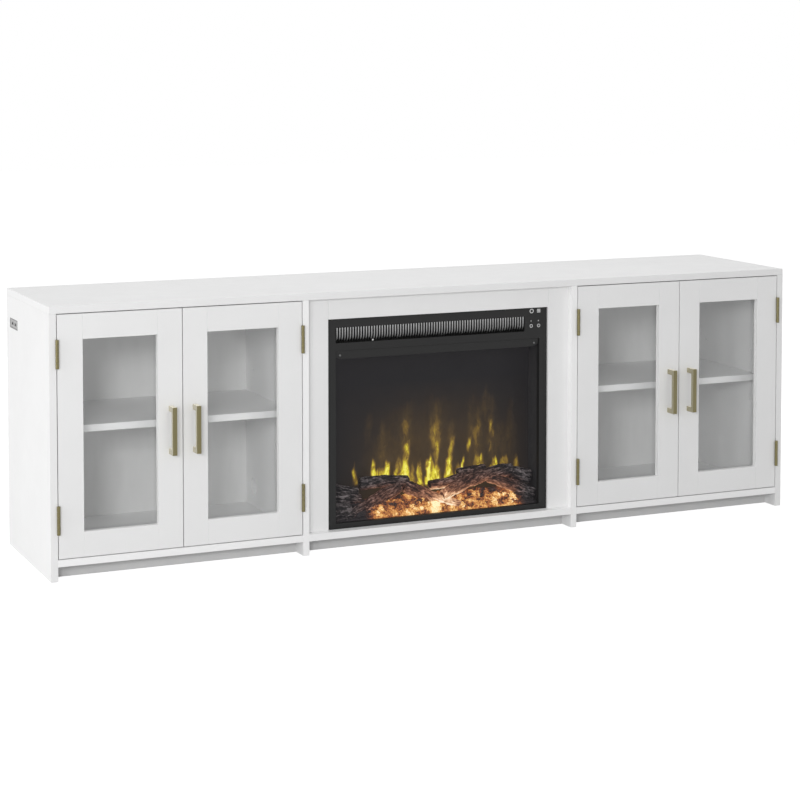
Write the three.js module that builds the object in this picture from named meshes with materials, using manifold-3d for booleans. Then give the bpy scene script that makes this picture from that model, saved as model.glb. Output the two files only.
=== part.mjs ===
// Fireplace TV stand: a white board cabinet with two pairs of glazed doors and an electric fire in the middle bay.
// Millimetres, +Z up, front towards -Y. The origin is on the floor under the middle of the whole object's box.

import * as THREE from 'three';
import { mergeVertices } from 'three/addons/utils/BufferGeometryUtils.js';
import Module from 'manifold-3d';

const wasm = await Module();
wasm.setup();

// Whole object
const overallWidth = 1892;
const overallHeight = 606;
const carcassDepth = 390;

// Boards
const boardThickness = 16;
const dividerThickness = 15;
const kickThickness = 16;
const kickHeight = 32.5;
const kickRecess = 45;
const backThickness = 3;
const centreBayWidth = 682;

// Shelves and the pins that carry them
const shelfThickness = 16;
const shelfRecess = 80;
const shelfEndGap = 0.4;
const shelfPinRadius = 2.5;
const shelfPinReach = 9;
const shelfNotchReach = 10;
const pinHoleDepth = 10;
const pinPitch = 64;
const frontPinSetback = 118;
const rearPinSetback = 332;
const seatGap = 0.3;

// Cord openings
const dividerCordRadius = 20;
const dividerCordSetback = 334;
const dividerCordRise = 48;
const backWindowHeight = 320;

// Charging plate in the left side
const plateLength = 72;
const plateHeight = 22.5;
const plateThickness = 2;
const plateSetback = 286;
const plateDrop = 66;
const plateBodyInset = 5;
const plateBodyReach = 34;
const portLength = 12.5;
const portHeight = 5;
const portDepth = 8;
const portSpacing = 26;

// Doors
const doorGap = 2;
const doorThickness = 18;
const doorStile = 57;
const doorRail = 56;
const seamWidth = 0.8;
const seamDepth = 0.6;
const paneThickness = 3;
const rebateWidth = 6;
const rebateDepth = 4;
const paneEdgeGap = 0.5;

// Pulls
const pullProjection = 30;
const pullLength = 108;
const pullWidth = 10.5;
const pullBarDepth = 10;
const pullLegHeight = 12;
const pullCorner = 1;
const pullDrop = 2;
const pullInset = 27;

// Hinges
const hingeLength = 64;
const hingeInset = 54;
const barrelRadius = 4;
const barrelStandoff = 0.3;
const hingePinRadius = 1.5;
const hingePinGap = 0.3;
const leafGap = 0.4;
const leafDepth = 14;
const leafSetback = 0.3;
const knuckleCount = 5;
const knuckleGap = 0.3;

// Surround of the fire
const surroundRecess = 18;
const surroundThickness = 16;
const surroundStile = 55;
const surroundOpening = centreBayWidth - 2 * surroundStile;
const surroundRailHeight = 49.5;

// Fire insert, front frame
const insertRecess = 6;
const insertEdgeGap = 1;
const frontDepth = 12;
const frontStile = 20;
const frontSill = 13;
const topBand = 20;
const louvreHeight = 36;
const controlBand = 60;
const lipBand = 18;
const insertGap = 0.3;

// Fire insert, louvre grille
const finPitch = 6.7;
const finThickness = 3;
const finBulge = 9;
const finCurveSteps = 2;
const grilleBar = 4;
const grilleBack = 3;

// Fire insert, deflector lip under the louvre
const lipHeight = 20;
const lipDepth = 9;
const lipSlope = 3;
const lipCornerWidth = 14;
const lipCornerHeight = 6;

// Fire insert, housing
const housingInset = 3;
const housingTopInset = 5;
const housingDepth = 188;
const sheet = 2;
const deckDrop = 5;
const ventCount = 9;
const ventPitch = 40;
const ventLength = 26;
const ventHeight = 6;
const ventRise = 380;
const bossRadius = 8;
const bossReach = 14;

// Fire insert, glass, flame screen and control board
const fireGlassThickness = 4;
const fireGlassEdgeGap = 2;
const screenSetback = 84;
const screenThickness = 3;
const boardHeight = 44;
const boardWidth = 44;
const boardDepth = 10;
const boardInset = 9;
const boardDrop = 11;

// Fire bed
const bedFrontGap = 1;
const bedDepth = 42;
const bedLip = 9;
const bedRise = 42;
const bedBump = 3;
const bedEndGap = 4;
const bedFloorGap = 0.3;
const bedSwellPower = 6;
const bedClimbPower = 0.7;
const bedBumpWaves = { across: 17, acrossLean: 5, along: 11, alongLean: -7 };
const bedColumns = 36;
const bedRows = 6;
const ridgeDepth = 19;
const ridgeHeight = 62;
const logRadius = 16;
const logPileHeight = 100;

// Flame rotor and its motor
const rotorRise = 56;
const rotorSetback = 128;
const rotorRadius = 22;
const shaftRadius = 3;
const flagWidth = 16;
const flagThickness = 0.8;
const flagPitch = 34;
const flagTurn = 0.69;
const motorRadius = 25;
const motorLength = 22;

// Blower wheel and heater duct
const ductLength = 340;
const ductDepth = 64;
const ductHeight = 51;
const ductFrontGap = 4;
const intakeHeight = 16;
const intakeEndGap = 20;
const wheelRadius = 20;
const wheelEndGap = 6;
const bladeCount = 12;
const bladeDepth = 6;
const bladeThickness = 1;
const discThickness = 2;
const blowerMotorRadius = 16;
const blowerMotorLength = 30;

// Cord gland
const glandBore = 5;
const glandBody = 8;
const glandFlange = 12;
const glandFlangeThickness = 4;
const glandNose = 12;
const glandRise = 92;
const glandOffset = 96;

// One length past a face that a cut runs through
const overrun = 2;

// Sides of the round forms
const barrelSides = 16;
const pinSides = 12;
const holeSides = 24;
const wheelSides = 24;
const logSides = 10;

// Planes that the pieces share
const frontY = (pullProjection - carcassDepth) / 2;
const backY = frontY + carcassDepth;
const innerBackY = backY - backThickness;
const halfWidth = overallWidth / 2;
const sideInnerX = halfWidth - boardThickness;
const dividerInnerX = centreBayWidth / 2;
const dividerOuterX = dividerInnerX + dividerThickness;
const floorBoardZ = kickHeight + boardThickness;
const topUndersideZ = overallHeight - boardThickness;
const shelfMiddleZ = (floorBoardZ + topUndersideZ) / 2;
const quarterTurn = Math.PI / 2;

// Maps a flat outline, drawn as depth and height, to a form that runs along X
const alongX = new THREE.Matrix4().makeBasis(
  new THREE.Vector3(0, 1, 0),
  new THREE.Vector3(0, 0, 1),
  new THREE.Vector3(1, 0, 0),
);

// Materials, one for each sub-part that is seen as its own finish
function finish(colour, roughness, metalness = 0, opacity = 1) {
  return () => new THREE.MeshStandardMaterial({
    color: colour,
    roughness,
    metalness,
    opacity,
    transparent: opacity < 1,
  });
}
const whiteBoard = finish(0xececec, 0.5);
const backBoard = finish(0xe2e0dc, 0.8);
const clearGlass = finish(0xf2f5f5, 0.05, 0, 0.25);
const darkGlass = finish(0x2e2e30, 0.08, 0, 0.35);
const brass = finish(0x8c8250, 0.35, 0.9);
const blackMetal = finish(0x303030, 0.5, 0.3);
const finMetal = finish(0x4a4a4a, 0.4, 0.5);
const zincSheet = finish(0x8f9294, 0.45, 0.8);
const greyPlastic = finish(0x777777, 0.5);
const blackPlastic = finish(0x1e1e1e, 0.6);
const circuitGreen = finish(0x2f5a3a, 0.6);
const screenGrey = finish(0x2c2a2c, 0.4);
const bark = finish(0x3a3032, 0.9);
const ember = finish(0xc9764a, 0.8);
const mirrorFoil = finish(0xd8d8d8, 0.15, 1);

// Solid from a geometry, and back again
function toSolid(geometry) {
  const bare = geometry.clone();
  bare.deleteAttribute('normal');
  bare.deleteAttribute('uv');
  const merged = mergeVertices(bare);
  return new wasm.Manifold(new wasm.Mesh({
    numProp: 3,
    vertProperties: new Float32Array(merged.getAttribute('position').array),
    triVerts: new Uint32Array(merged.getIndex().array),
  }));
}

function toGeometry(solid) {
  const mesh = solid.getMesh();
  const geometry = new THREE.BufferGeometry();
  geometry.setAttribute('position', new THREE.BufferAttribute(new Float32Array(mesh.vertProperties), 3));
  geometry.setIndex(new THREE.BufferAttribute(new Uint32Array(mesh.triVerts), 1));
  geometry.computeVertexNormals();
  return geometry;
}

function cut(base, tools) {
  return toGeometry(tools.reduce((solid, tool) => solid.subtract(toSolid(tool)), toSolid(base)));
}

function join(pieces) {
  const [first, ...others] = pieces;
  return toGeometry(others.reduce((solid, other) => solid.add(toSolid(other)), toSolid(first)));
}

// Block between a low and a high corner
function block(low, high) {
  const size = high.map((value, axis) => value - low[axis]);
  const centre = high.map((value, axis) => (value + low[axis]) / 2);
  return new THREE.BoxGeometry(...size).translate(...centre);
}

// The same block on the left or on the right: x runs away from the middle of the object
function sidedBlock(side, low, high) {
  const nearX = Math.min(side * low[0], side * high[0]);
  const farX = Math.max(side * low[0], side * high[0]);
  return block([nearX, low[1], low[2]], [farX, high[1], high[2]]);
}

// Cylinders along each axis, centred on their own middle
function rodX(radius, length, sides) {
  return new THREE.CylinderGeometry(radius, radius, length, sides).rotateZ(quarterTurn);
}

function rodY(radius, length, sides) {
  return new THREE.CylinderGeometry(radius, radius, length, sides);
}

function rodZ(radius, length, sides) {
  return new THREE.CylinderGeometry(radius, radius, length, sides).rotateX(quarterTurn);
}

function addPiece(parent, name, geometry, material) {
  const mesh = new THREE.Mesh(geometry, material());
  mesh.name = name;
  parent.add(mesh);
  return mesh;
}

const stand = new THREE.Group();

// Cabinet boards
function addTop() {
  const low = [-halfWidth, frontY, topUndersideZ];
  const high = [halfWidth, backY, overallHeight];
  addPiece(stand, 'top_panel', block(low, high), whiteBoard);
}

// Shelf pins and spare pin holes on one face of an upright; outward is the way the face looks along X
function pinRows(faceX, outward) {
  const pins = [];
  const holes = [];
  for (const setback of [frontPinSetback, rearPinSetback]) {
    for (const step of [-1, 0, 1]) {
      const length = step === 0 ? shelfPinReach + pinHoleDepth : pinHoleDepth + overrun;
      const reach = step === 0 ? shelfPinReach : overrun;
      const rod = rodX(shelfPinRadius, length, pinSides);
      rod.translate(faceX + outward * (reach - length / 2), frontY + setback, shelfMiddleZ + step * pinPitch);
      (step === 0 ? pins : holes).push(rod);
    }
  }
  return { pins, holes };
}

function chargingCuts() {
  const y = frontY + plateSetback;
  const z = overallHeight - plateDrop - plateHeight;
  const flange = block(
    [-halfWidth - overrun, y - seatGap, z - seatGap],
    [-halfWidth + plateThickness + seatGap, y + plateLength + seatGap, z + plateHeight + seatGap],
  );
  const body = block(
    [-halfWidth - overrun, y + plateBodyInset - seatGap, z + plateBodyInset - seatGap],
    [-sideInnerX + overrun, y + plateLength - plateBodyInset + seatGap, z + plateHeight - plateBodyInset + seatGap],
  );
  return [flange, body];
}

function addSidePanel(side, name) {
  const panel = sidedBlock(side, [sideInnerX, frontY, 0], [halfWidth, backY, topUndersideZ]);
  const { pins, holes } = pinRows(side * sideInnerX, -side);
  const cuts = side < 0 ? [...holes, ...chargingCuts()] : holes;
  addPiece(stand, name, join([cut(panel, cuts), ...pins]), whiteBoard);
}

function addDivider(side, name) {
  const low = [dividerInnerX, frontY, 0];
  const high = [dividerOuterX, innerBackY, topUndersideZ];
  const { pins, holes } = pinRows(side * dividerOuterX, side);
  const cordHole = rodX(dividerCordRadius, dividerThickness + overrun, holeSides);
  const middleX = side * (dividerInnerX + dividerOuterX) / 2;
  cordHole.translate(middleX, frontY + dividerCordSetback, floorBoardZ + dividerCordRise);
  const board = cut(sidedBlock(side, low, high), [...holes, cordHole]);
  addPiece(stand, name, join([board, ...pins]), whiteBoard);
}

// Bays: the x range of each, between the uprights that bound it
const bays = {
  left: [-sideInnerX, -dividerOuterX],
  centre: [-dividerInnerX, dividerInnerX],
  right: [dividerOuterX, sideInnerX],
};

function addBottomAndKick(bay) {
  const [x0, x1] = bays[bay];
  const bottom = block([x0, frontY, kickHeight], [x1, innerBackY, floorBoardZ]);
  const kickY = frontY + kickRecess;
  const kick = block([x0, kickY, 0], [x1, kickY + kickThickness, kickHeight]);
  addPiece(stand, `${bay}_bottom_panel`, bottom, whiteBoard);
  addPiece(stand, `${bay}_kick_plate`, kick, whiteBoard);
}

// One sheet, cut away behind the fire for its mains lead and for air
function addBack() {
  const sheetBlock = block([-sideInnerX, innerBackY, kickHeight], [sideInnerX, backY, topUndersideZ]);
  const window = block(
    [-dividerInnerX, innerBackY - overrun, floorBoardZ],
    [dividerInnerX, backY + overrun, floorBoardZ + backWindowHeight],
  );
  addPiece(stand, 'back_panel', cut(sheetBlock, [window]), backBoard);
}

// A shelf is notched at its ends, so that it drops over the pins and hides them
function addShelf(bay) {
  const [x0, x1] = bays[bay];
  const low = [x0 + shelfEndGap, frontY + shelfRecess, shelfMiddleZ - shelfThickness / 2];
  const high = [x1 - shelfEndGap, innerBackY - seatGap, shelfMiddleZ + shelfThickness / 2];
  const halfNotch = shelfPinRadius + seatGap;
  const notches = [];
  for (const setback of [frontPinSetback, rearPinSetback]) {
    for (const [from, to] of [[x0, x0 + shelfNotchReach], [x1 - shelfNotchReach, x1]]) {
      const y = frontY + setback;
      const notchTop = shelfMiddleZ + shelfPinRadius + seatGap;
      notches.push(block([from, y - halfNotch, low[2] - overrun], [to, y + halfNotch, notchTop]));
    }
  }
  addPiece(stand, `${bay}_shelf`, cut(block(low, high), notches), whiteBoard);
}

function addSurround() {
  const y0 = frontY + surroundRecess;
  const y1 = y0 + surroundThickness;
  const openingX = surroundOpening / 2;
  for (const [side, name] of [[-1, 'surround_left_stile'], [1, 'surround_right_stile']]) {
    const stile = sidedBlock(side, [openingX, y0, floorBoardZ], [dividerInnerX, y1, topUndersideZ]);
    addPiece(stand, name, stile, whiteBoard);
  }
  const rail = block([-openingX, y0, topUndersideZ - surroundRailHeight], [openingX, y1, topUndersideZ]);
  addPiece(stand, 'surround_top_rail', rail, whiteBoard);
}

function addChargingPlate() {
  const y = frontY + plateSetback;
  const z = overallHeight - plateDrop - plateHeight;
  const flange = block([-halfWidth, y, z], [-halfWidth + plateThickness, y + plateLength, z + plateHeight]);
  const body = block(
    [-halfWidth, y + plateBodyInset, z + plateBodyInset],
    [-halfWidth + plateBodyReach, y + plateLength - plateBodyInset, z + plateHeight - plateBodyInset],
  );
  const ports = [-1, 1].map((way) => {
    const middleY = y + plateLength / 2 + way * portSpacing / 2;
    const middleZ = z + plateHeight / 2;
    return block(
      [-halfWidth - overrun, middleY - portLength / 2, middleZ - portHeight / 2],
      [-halfWidth + portDepth, middleY + portLength / 2, middleZ + portHeight / 2],
    );
  });
  addPiece(stand, 'charging_plate', cut(join([flange, body]), ports), greyPlastic);
}

// Doors. Each is a group whose origin lies on its hinge line, at the middle of the door's height.
const doorWidth = (sideInnerX - dividerOuterX - 3 * doorGap) / 2;
const doorLowZ = floorBoardZ + doorGap;
const doorHighZ = topUndersideZ - doorGap;
const doorHeight = doorHighZ - doorLowZ;
const doorMiddleZ = (doorLowZ + doorHighZ) / 2;
const hingeLineY = frontY - barrelStandoff - barrelRadius;
const faceOffset = barrelStandoff + barrelRadius;
const hingeMiddleOffset = doorHeight / 2 - hingeInset - hingeLength / 2;
const leafThickness = (doorGap - leafGap) / 2;

function doorFrameGeometry(side) {
  const x0 = doorGap / 2;
  const x1 = x0 + doorWidth;
  const y0 = faceOffset;
  const y1 = y0 + doorThickness;
  const halfHeight = doorHeight / 2;
  const openingHalf = halfHeight - doorRail;
  const openX0 = x0 + doorStile;
  const openX1 = x1 - doorStile;
  const rebateY = y1 - rebateDepth;
  const cuts = [
    sidedBlock(side, [openX0, y0 - overrun, -openingHalf], [openX1, y1 + overrun, openingHalf]),
    sidedBlock(
      side,
      [openX0 - rebateWidth, rebateY, -openingHalf - rebateWidth],
      [openX1 + rebateWidth, y1 + overrun, openingHalf + rebateWidth],
    ),
  ];
  // Butt seams between the rails and the stiles, in line with the edges of the opening
  for (const seamX of [openX0 - seamWidth / 2, openX1 - seamWidth / 2]) {
    for (const [z0, z1] of [[openingHalf, halfHeight + overrun], [-halfHeight - overrun, -openingHalf]]) {
      const seamLow = [seamX, y0 - overrun, z0];
      const seamHigh = [seamX + seamWidth, y0 + seamDepth, z1];
      cuts.push(sidedBlock(side, seamLow, seamHigh));
    }
  }
  return cut(sidedBlock(side, [x0, y0, -halfHeight], [x1, y1, halfHeight]), cuts);
}

function paneGeometry(side) {
  const margin = rebateWidth - paneEdgeGap;
  const halfHeight = doorHeight / 2 - doorRail + margin;
  const y0 = faceOffset + doorThickness - rebateDepth;
  const x0 = doorGap / 2 + doorStile - margin;
  const x1 = doorGap / 2 + doorWidth - doorStile + margin;
  return sidedBlock(side, [x0, y0, -halfHeight], [x1, y0 + paneThickness, halfHeight]);
}

// Square-bar pull, drawn as its side outline and run along X
function pullGeometry() {
  const half = pullLength / 2;
  const barBack = pullBarDepth - pullProjection;
  const outline = new THREE.Shape();
  outline.moveTo(0, -half);
  outline.lineTo(0, -half + pullLegHeight);
  outline.lineTo(barBack, -half + pullLegHeight);
  outline.lineTo(barBack, half - pullLegHeight);
  outline.lineTo(0, half - pullLegHeight);
  outline.lineTo(0, half);
  outline.lineTo(-pullProjection + pullCorner, half);
  outline.lineTo(-pullProjection, half - pullCorner);
  outline.lineTo(-pullProjection, -half + pullCorner);
  outline.lineTo(-pullProjection + pullCorner, -half);
  outline.closePath();
  const geometry = new THREE.ExtrudeGeometry(outline, { depth: pullWidth, bevelEnabled: false });
  return geometry.translate(0, 0, -pullWidth / 2).applyMatrix4(alongX);
}

// Knuckles are numbered from the bottom: even ones belong to the cabinet leaf, odd ones to the door leaf
function knuckleSpan(index) {
  const height = (hingeLength - (knuckleCount - 1) * knuckleGap) / knuckleCount;
  const low = -hingeLength / 2 + index * (height + knuckleGap);
  return [low, low + height];
}

// A leaf lies in the gap beside the door; way is -1 for the leaf on the cabinet, +1 for the leaf on the door
function leafGeometry(side, way, ownIndexes) {
  const x0 = way * leafGap / 2;
  const x1 = way * (leafGap / 2 + leafThickness);
  const nearX = Math.min(x0, x1);
  const farX = Math.max(x0, x1);
  const plateY = faceOffset + leafSetback;
  const plateBlock = (y0, y1, z0, z1) => sidedBlock(side, [nearX, y0, z0], [farX, y1, z1]);
  const pieces = [plateBlock(plateY, plateY + leafDepth, -hingeLength / 2, hingeLength / 2)];
  for (const index of ownIndexes) {
    const [z0, z1] = knuckleSpan(index);
    pieces.push(rodZ(barrelRadius, z1 - z0, barrelSides).translate(0, 0, (z0 + z1) / 2));
    pieces.push(plateBlock(0, plateY, z0, z1));
  }
  return join(pieces);
}

function cabinetLeafGeometry(side) {
  const even = [...Array(knuckleCount).keys()].filter((index) => index % 2 === 0);
  const pin = rodZ(hingePinRadius, hingeLength, pinSides);
  return join([leafGeometry(side, -1, even), pin]);
}

function doorLeafGeometry(side) {
  const odd = [...Array(knuckleCount).keys()].filter((index) => index % 2 === 1);
  const bore = rodZ(hingePinRadius + hingePinGap, hingeLength + overrun, pinSides);
  return cut(leafGeometry(side, 1, odd), [bore]);
}

// side is the way the door runs from its hinge line: +1 to the right, -1 to the left
function addDoor(name, hingeX, side) {
  const door = new THREE.Group();
  door.position.set(hingeX, hingeLineY, doorMiddleZ);
  stand.add(door);
  addPiece(door, `${name}_door_frame`, doorFrameGeometry(side), whiteBoard);
  addPiece(door, `${name}_door_glass`, paneGeometry(side), clearGlass);
  const pull = addPiece(door, `${name}_pull`, pullGeometry(), brass);
  pull.position.set(side * (doorGap / 2 + doorWidth - pullInset), faceOffset, -pullDrop);
  for (const [place, way] of [['lower', -1], ['upper', 1]]) {
    const cabinetLeaf = addPiece(door, `${name}_${place}_cabinet_leaf`, cabinetLeafGeometry(side), brass);
    const doorLeaf = addPiece(door, `${name}_${place}_door_leaf`, doorLeafGeometry(side), brass);
    cabinetLeaf.position.z = way * hingeMiddleOffset;
    doorLeaf.position.z = way * hingeMiddleOffset;
  }
}

// Fire insert. Its group's origin is at the middle of its front face's lower edge, y runs back into the cabinet.
const insertWidth = surroundOpening - 2 * insertEdgeGap;
const insertHeight = topUndersideZ - surroundRailHeight - insertEdgeGap - floorBoardZ;
const insertHalf = insertWidth / 2;
const windowHalf = insertHalf - frontStile;
const louvreTopZ = insertHeight - topBand;
const louvreLowZ = louvreTopZ - louvreHeight;
const windowTopZ = louvreLowZ - lipBand;
const louvreLeftX = -windowHalf;
const louvreRightX = insertHalf - controlBand;
const housingHalf = insertHalf - housingInset;
const chamberHalf = housingHalf - sheet;
const housingTopZ = insertHeight - housingTopInset;
const housingBackY = frontDepth + housingDepth;
const deckTopZ = louvreLowZ - deckDrop;
const deckLowZ = deckTopZ - sheet;

const insert = new THREE.Group();
insert.position.set(0, frontY + surroundRecess + insertRecess, floorBoardZ);
stand.add(insert);

function addFrontFrame() {
  const body = block([-insertHalf, 0, 0], [insertHalf, frontDepth, insertHeight]);
  const louvre = block([louvreLeftX, -overrun, louvreLowZ], [louvreRightX, frontDepth + overrun, louvreTopZ]);
  const window = block([-windowHalf, -overrun, frontSill], [windowHalf, frontDepth + overrun, windowTopZ]);
  addPiece(insert, 'insert_front_frame', cut(body, [louvre, window]), blackMetal);
}

// Vertical fins with a bowed front edge, on a bar above and a bar below that sit behind the front frame
function addLouvre() {
  const halfHeight = louvreHeight / 2 - insertGap;
  const middleZ = (louvreLowZ + louvreTopZ) / 2;
  const backPlane = frontDepth + insertGap + grilleBack;
  const profile = new THREE.Shape();
  profile.moveTo(0, -halfHeight);
  profile.absellipse(0, 0, finBulge, halfHeight, -quarterTurn, -3 * quarterTurn, true);
  profile.lineTo(backPlane - finBulge - insertGap, halfHeight);
  profile.lineTo(backPlane - finBulge - insertGap, -halfHeight);
  const options = { depth: finThickness, bevelEnabled: false, curveSegments: finCurveSteps };
  const fin = new THREE.ExtrudeGeometry(profile, options).applyMatrix4(alongX);
  const louvreWidth = louvreRightX - louvreLeftX - 2 * insertGap;
  const finCount = Math.floor((louvreWidth - finThickness) / finPitch) + 1;
  const firstX = (louvreLeftX + louvreRightX) / 2 - ((finCount - 1) * finPitch + finThickness) / 2;
  const pieces = [];
  for (let index = 0; index < finCount; index += 1) {
    pieces.push(fin.clone().translate(firstX + index * finPitch, finBulge + insertGap, middleZ));
  }
  const barY = frontDepth + insertGap;
  for (const [z0, z1] of [[louvreLowZ - grilleBar, louvreLowZ + grilleBar / 2],
    [louvreTopZ - grilleBar / 2, louvreTopZ + grilleBar]]) {
    pieces.push(block([louvreLeftX - grilleBar, barY, z0], [louvreRightX + grilleBar, backPlane, z1]));
  }
  addPiece(insert, 'louvre_grille', join(pieces), finMetal);
}

// Hood under the louvre: a long bar with slanted lower corners, whose face leans back towards the bottom
function addDeflectorLip() {
  const half = windowHalf - insertGap;
  const top = windowTopZ - insertGap;
  const low = top - lipHeight;
  const outline = new THREE.Shape();
  outline.moveTo(-half, top);
  outline.lineTo(-half, low + lipCornerHeight);
  outline.lineTo(-half + lipCornerWidth, low);
  outline.lineTo(half - lipCornerWidth, low);
  outline.lineTo(half, low + lipCornerHeight);
  outline.lineTo(half, top);
  outline.closePath();
  const bar = new THREE.ExtrudeGeometry(outline, { depth: lipDepth, bevelEnabled: false }).rotateX(quarterTurn);
  bar.translate(0, frontDepth, 0);
  const leanShape = new THREE.Shape();
  const faceY = frontDepth - lipDepth;
  leanShape.moveTo(faceY, top + overrun);
  leanShape.lineTo(faceY + lipSlope, low - overrun);
  leanShape.lineTo(faceY - overrun, low - overrun);
  leanShape.lineTo(faceY - overrun, top + overrun);
  leanShape.closePath();
  const length = 2 * (half + overrun);
  const lean = new THREE.ExtrudeGeometry(leanShape, { depth: length, bevelEnabled: false });
  lean.translate(0, 0, -length / 2).applyMatrix4(alongX);
  addPiece(insert, 'deflector_lip', cut(bar, [lean]), blackMetal);
}

// Folded sheet housing, open at the front, with the deck that carries the blower above the fire chamber
function addHousing() {
  const outer = block([-housingHalf, frontDepth, 0], [housingHalf, housingBackY, housingTopZ]);
  const innerY = housingBackY - sheet;
  const chamber = block([-chamberHalf, frontDepth - overrun, sheet], [chamberHalf, innerY, deckLowZ]);
  const upper = block([-chamberHalf, frontDepth - overrun, deckTopZ], [chamberHalf, innerY, housingTopZ - sheet]);
  const vents = [];
  for (let index = 0; index < ventCount; index += 1) {
    const middleX = (index - (ventCount - 1) / 2) * ventPitch;
    const low = [middleX - ventLength / 2, innerY - overrun, ventRise];
    const high = [middleX + ventLength / 2, housingBackY + overrun, ventRise + ventHeight];
    vents.push(block(low, high));
  }
  const glandHole = rodY(glandBody + insertGap, sheet + 2 * overrun, holeSides);
  glandHole.translate(glandOffset, housingBackY - sheet / 2, glandRise);
  const boss = rodX(bossRadius, bossReach + sheet / 2, barrelSides);
  boss.translate(chamberHalf + sheet / 2 - (bossReach + sheet / 2) / 2, rotorSetback, rotorRise);
  const shell = cut(outer, [chamber, upper, ...vents, glandHole]);
  addPiece(insert, 'insert_housing', join([shell, boss]), zincSheet);
}

function addFireGlass() {
  const y0 = frontDepth + insertGap;
  const low = [-chamberHalf + fireGlassEdgeGap, y0, sheet + insertGap];
  const high = [chamberHalf - fireGlassEdgeGap, y0 + fireGlassThickness, deckLowZ - insertGap];
  addPiece(insert, 'fire_glass', block(low, high), darkGlass);
}

function addFlameScreen() {
  const low = [-chamberHalf + insertGap, screenSetback, sheet];
  const high = [chamberHalf - insertGap, screenSetback + screenThickness, deckLowZ - insertGap];
  addPiece(insert, 'flame_screen', block(low, high), screenGrey);
}

function addControlBoard() {
  const x1 = insertHalf - boardInset;
  const z1 = insertHeight - boardDrop;
  const y0 = frontDepth + insertGap;
  const low = [x1 - boardWidth, y0, z1 - boardHeight];
  addPiece(insert, 'control_board', block(low, [x1, y0 + boardDepth, z1]), circuitGreen);
}

// Ember bed: a mound that climbs from its front lip to the logs behind
const bedHalf = chamberHalf - bedEndGap;
const bedFrontY = frontDepth + insertGap + fireGlassThickness + bedFrontGap;

function bedHeight(xShare, depthShare) {
  const { across, acrossLean, along, alongLean } = bedBumpWaves;
  const swell = Math.sqrt(Math.max(0, 1 - xShare ** bedSwellPower));
  const climb = bedLip + bedRise * depthShare ** bedClimbPower * swell;
  const firstWave = Math.sin(across * xShare + acrossLean * depthShare);
  const secondWave = Math.cos(along * xShare + alongLean * depthShare);
  return climb + bedBump * firstWave * secondWave * depthShare;
}

function bedGeometry() {
  const geometry = new THREE.BoxGeometry(2 * bedHalf, bedDepth, bedLip, bedColumns, bedRows, 1);
  const position = geometry.getAttribute('position');
  for (let index = 0; index < position.count; index += 1) {
    if (position.getZ(index) > 0) {
      const depthShare = position.getY(index) / bedDepth + 1 / 2;
      position.setZ(index, bedHeight(position.getX(index) / bedHalf, depthShare) - bedLip / 2);
    }
  }
  return geometry.translate(0, bedFrontY + bedDepth / 2, sheet + bedFloorGap + bedLip / 2);
}

// Logs. Ends are shares: x of the bed's half width, y of the bed's depth from its front, z of the pile's height.
// Radii are shares of the log radius, at the start and at the end.
const logShares = [
  { from: [-0.64, 1.26, 0.86], to: [-0.20, 1.02, 0.83], radius: [0.86, 0.80] },
  { from: [-0.85, 0.16, 0.20], to: [-0.30, 0.97, 0.76], radius: [0.62, 1.05] },
  { from: [-0.24, 0.92, 0.75], to: [0.24, 0.22, 0.24], radius: [0.95, 0.50] },
  { from: [0.08, 0.36, 0.46], to: [0.81, 1.16, 0.89], radius: [0.80, 0.94] },
  { from: [0.00, 0.95, 0.70], to: [0.34, 1.28, 0.78], radius: [0.64, 0.70] },
  { from: [0.30, 1.40, 0.84], to: [0.57, 1.40, 0.92], radius: [0.88, 0.76] },
  { from: [0.80, 1.12, 0.80], to: [0.98, 1.02, 0.68], radius: [1.00, 1.00] },
  { from: [0.80, 0.72, 0.42], to: [0.98, 0.52, 0.28], radius: [1.10, 0.95] },
  { from: [0.56, 0.96, 0.74], to: [0.90, 0.52, 0.36], radius: [0.62, 0.90] },
  { from: [-0.95, 1.20, 0.84], to: [-0.68, 0.96, 0.66], radius: [0.78, 0.74] },
  { from: [-0.95, 0.80, 0.62], to: [-0.66, 0.84, 0.52], radius: [0.80, 0.72] },
  { from: [-0.94, 0.42, 0.32], to: [-0.78, 0.44, 0.36], radius: [1.30, 1.10] },
];

function logGeometry({ from, to, radius }) {
  const place = ([x, y, z]) => new THREE.Vector3(
    x * bedHalf,
    bedFrontY + y * bedDepth,
    z * logPileHeight,
  );
  const start = place(from);
  const end = place(to);
  const run = end.clone().sub(start);
  const length = run.length();
  const [startShare, endShare] = radius;
  const body = new THREE.CylinderGeometry(endShare * logRadius, startShare * logRadius, length, logSides);
  const turn = new THREE.Quaternion().setFromUnitVectors(new THREE.Vector3(0, 1, 0), run.normalize());
  const middle = start.add(end).multiplyScalar(0.5);
  return body.applyQuaternion(turn).translate(middle.x, middle.y, middle.z);
}

function addFireBed() {
  const bed = bedGeometry();
  addPiece(insert, 'ember_bed', bed, ember);
  const ridgeY = bedFrontY + bedDepth + insertGap;
  const ridge = block([-bedHalf, ridgeY, sheet], [bedHalf, ridgeY + ridgeDepth, ridgeHeight]);
  const pile = join([ridge, ...logShares.map(logGeometry)]);
  const reach = block(
    [-chamberHalf + insertGap, frontDepth + insertGap + fireGlassThickness + insertGap, sheet],
    [chamberHalf - insertGap, screenSetback - insertGap, deckLowZ],
  );
  const trimmed = toSolid(pile).intersect(toSolid(reach));
  const clearBed = toSolid(bed.clone().translate(0, 0, seatGap));
  const belowBed = toSolid(bed.clone().translate(0, 0, -bedLip / 2));
  addPiece(insert, 'log_set', toGeometry(trimmed.subtract(clearBed).subtract(belowBed)), bark);
}

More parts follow.
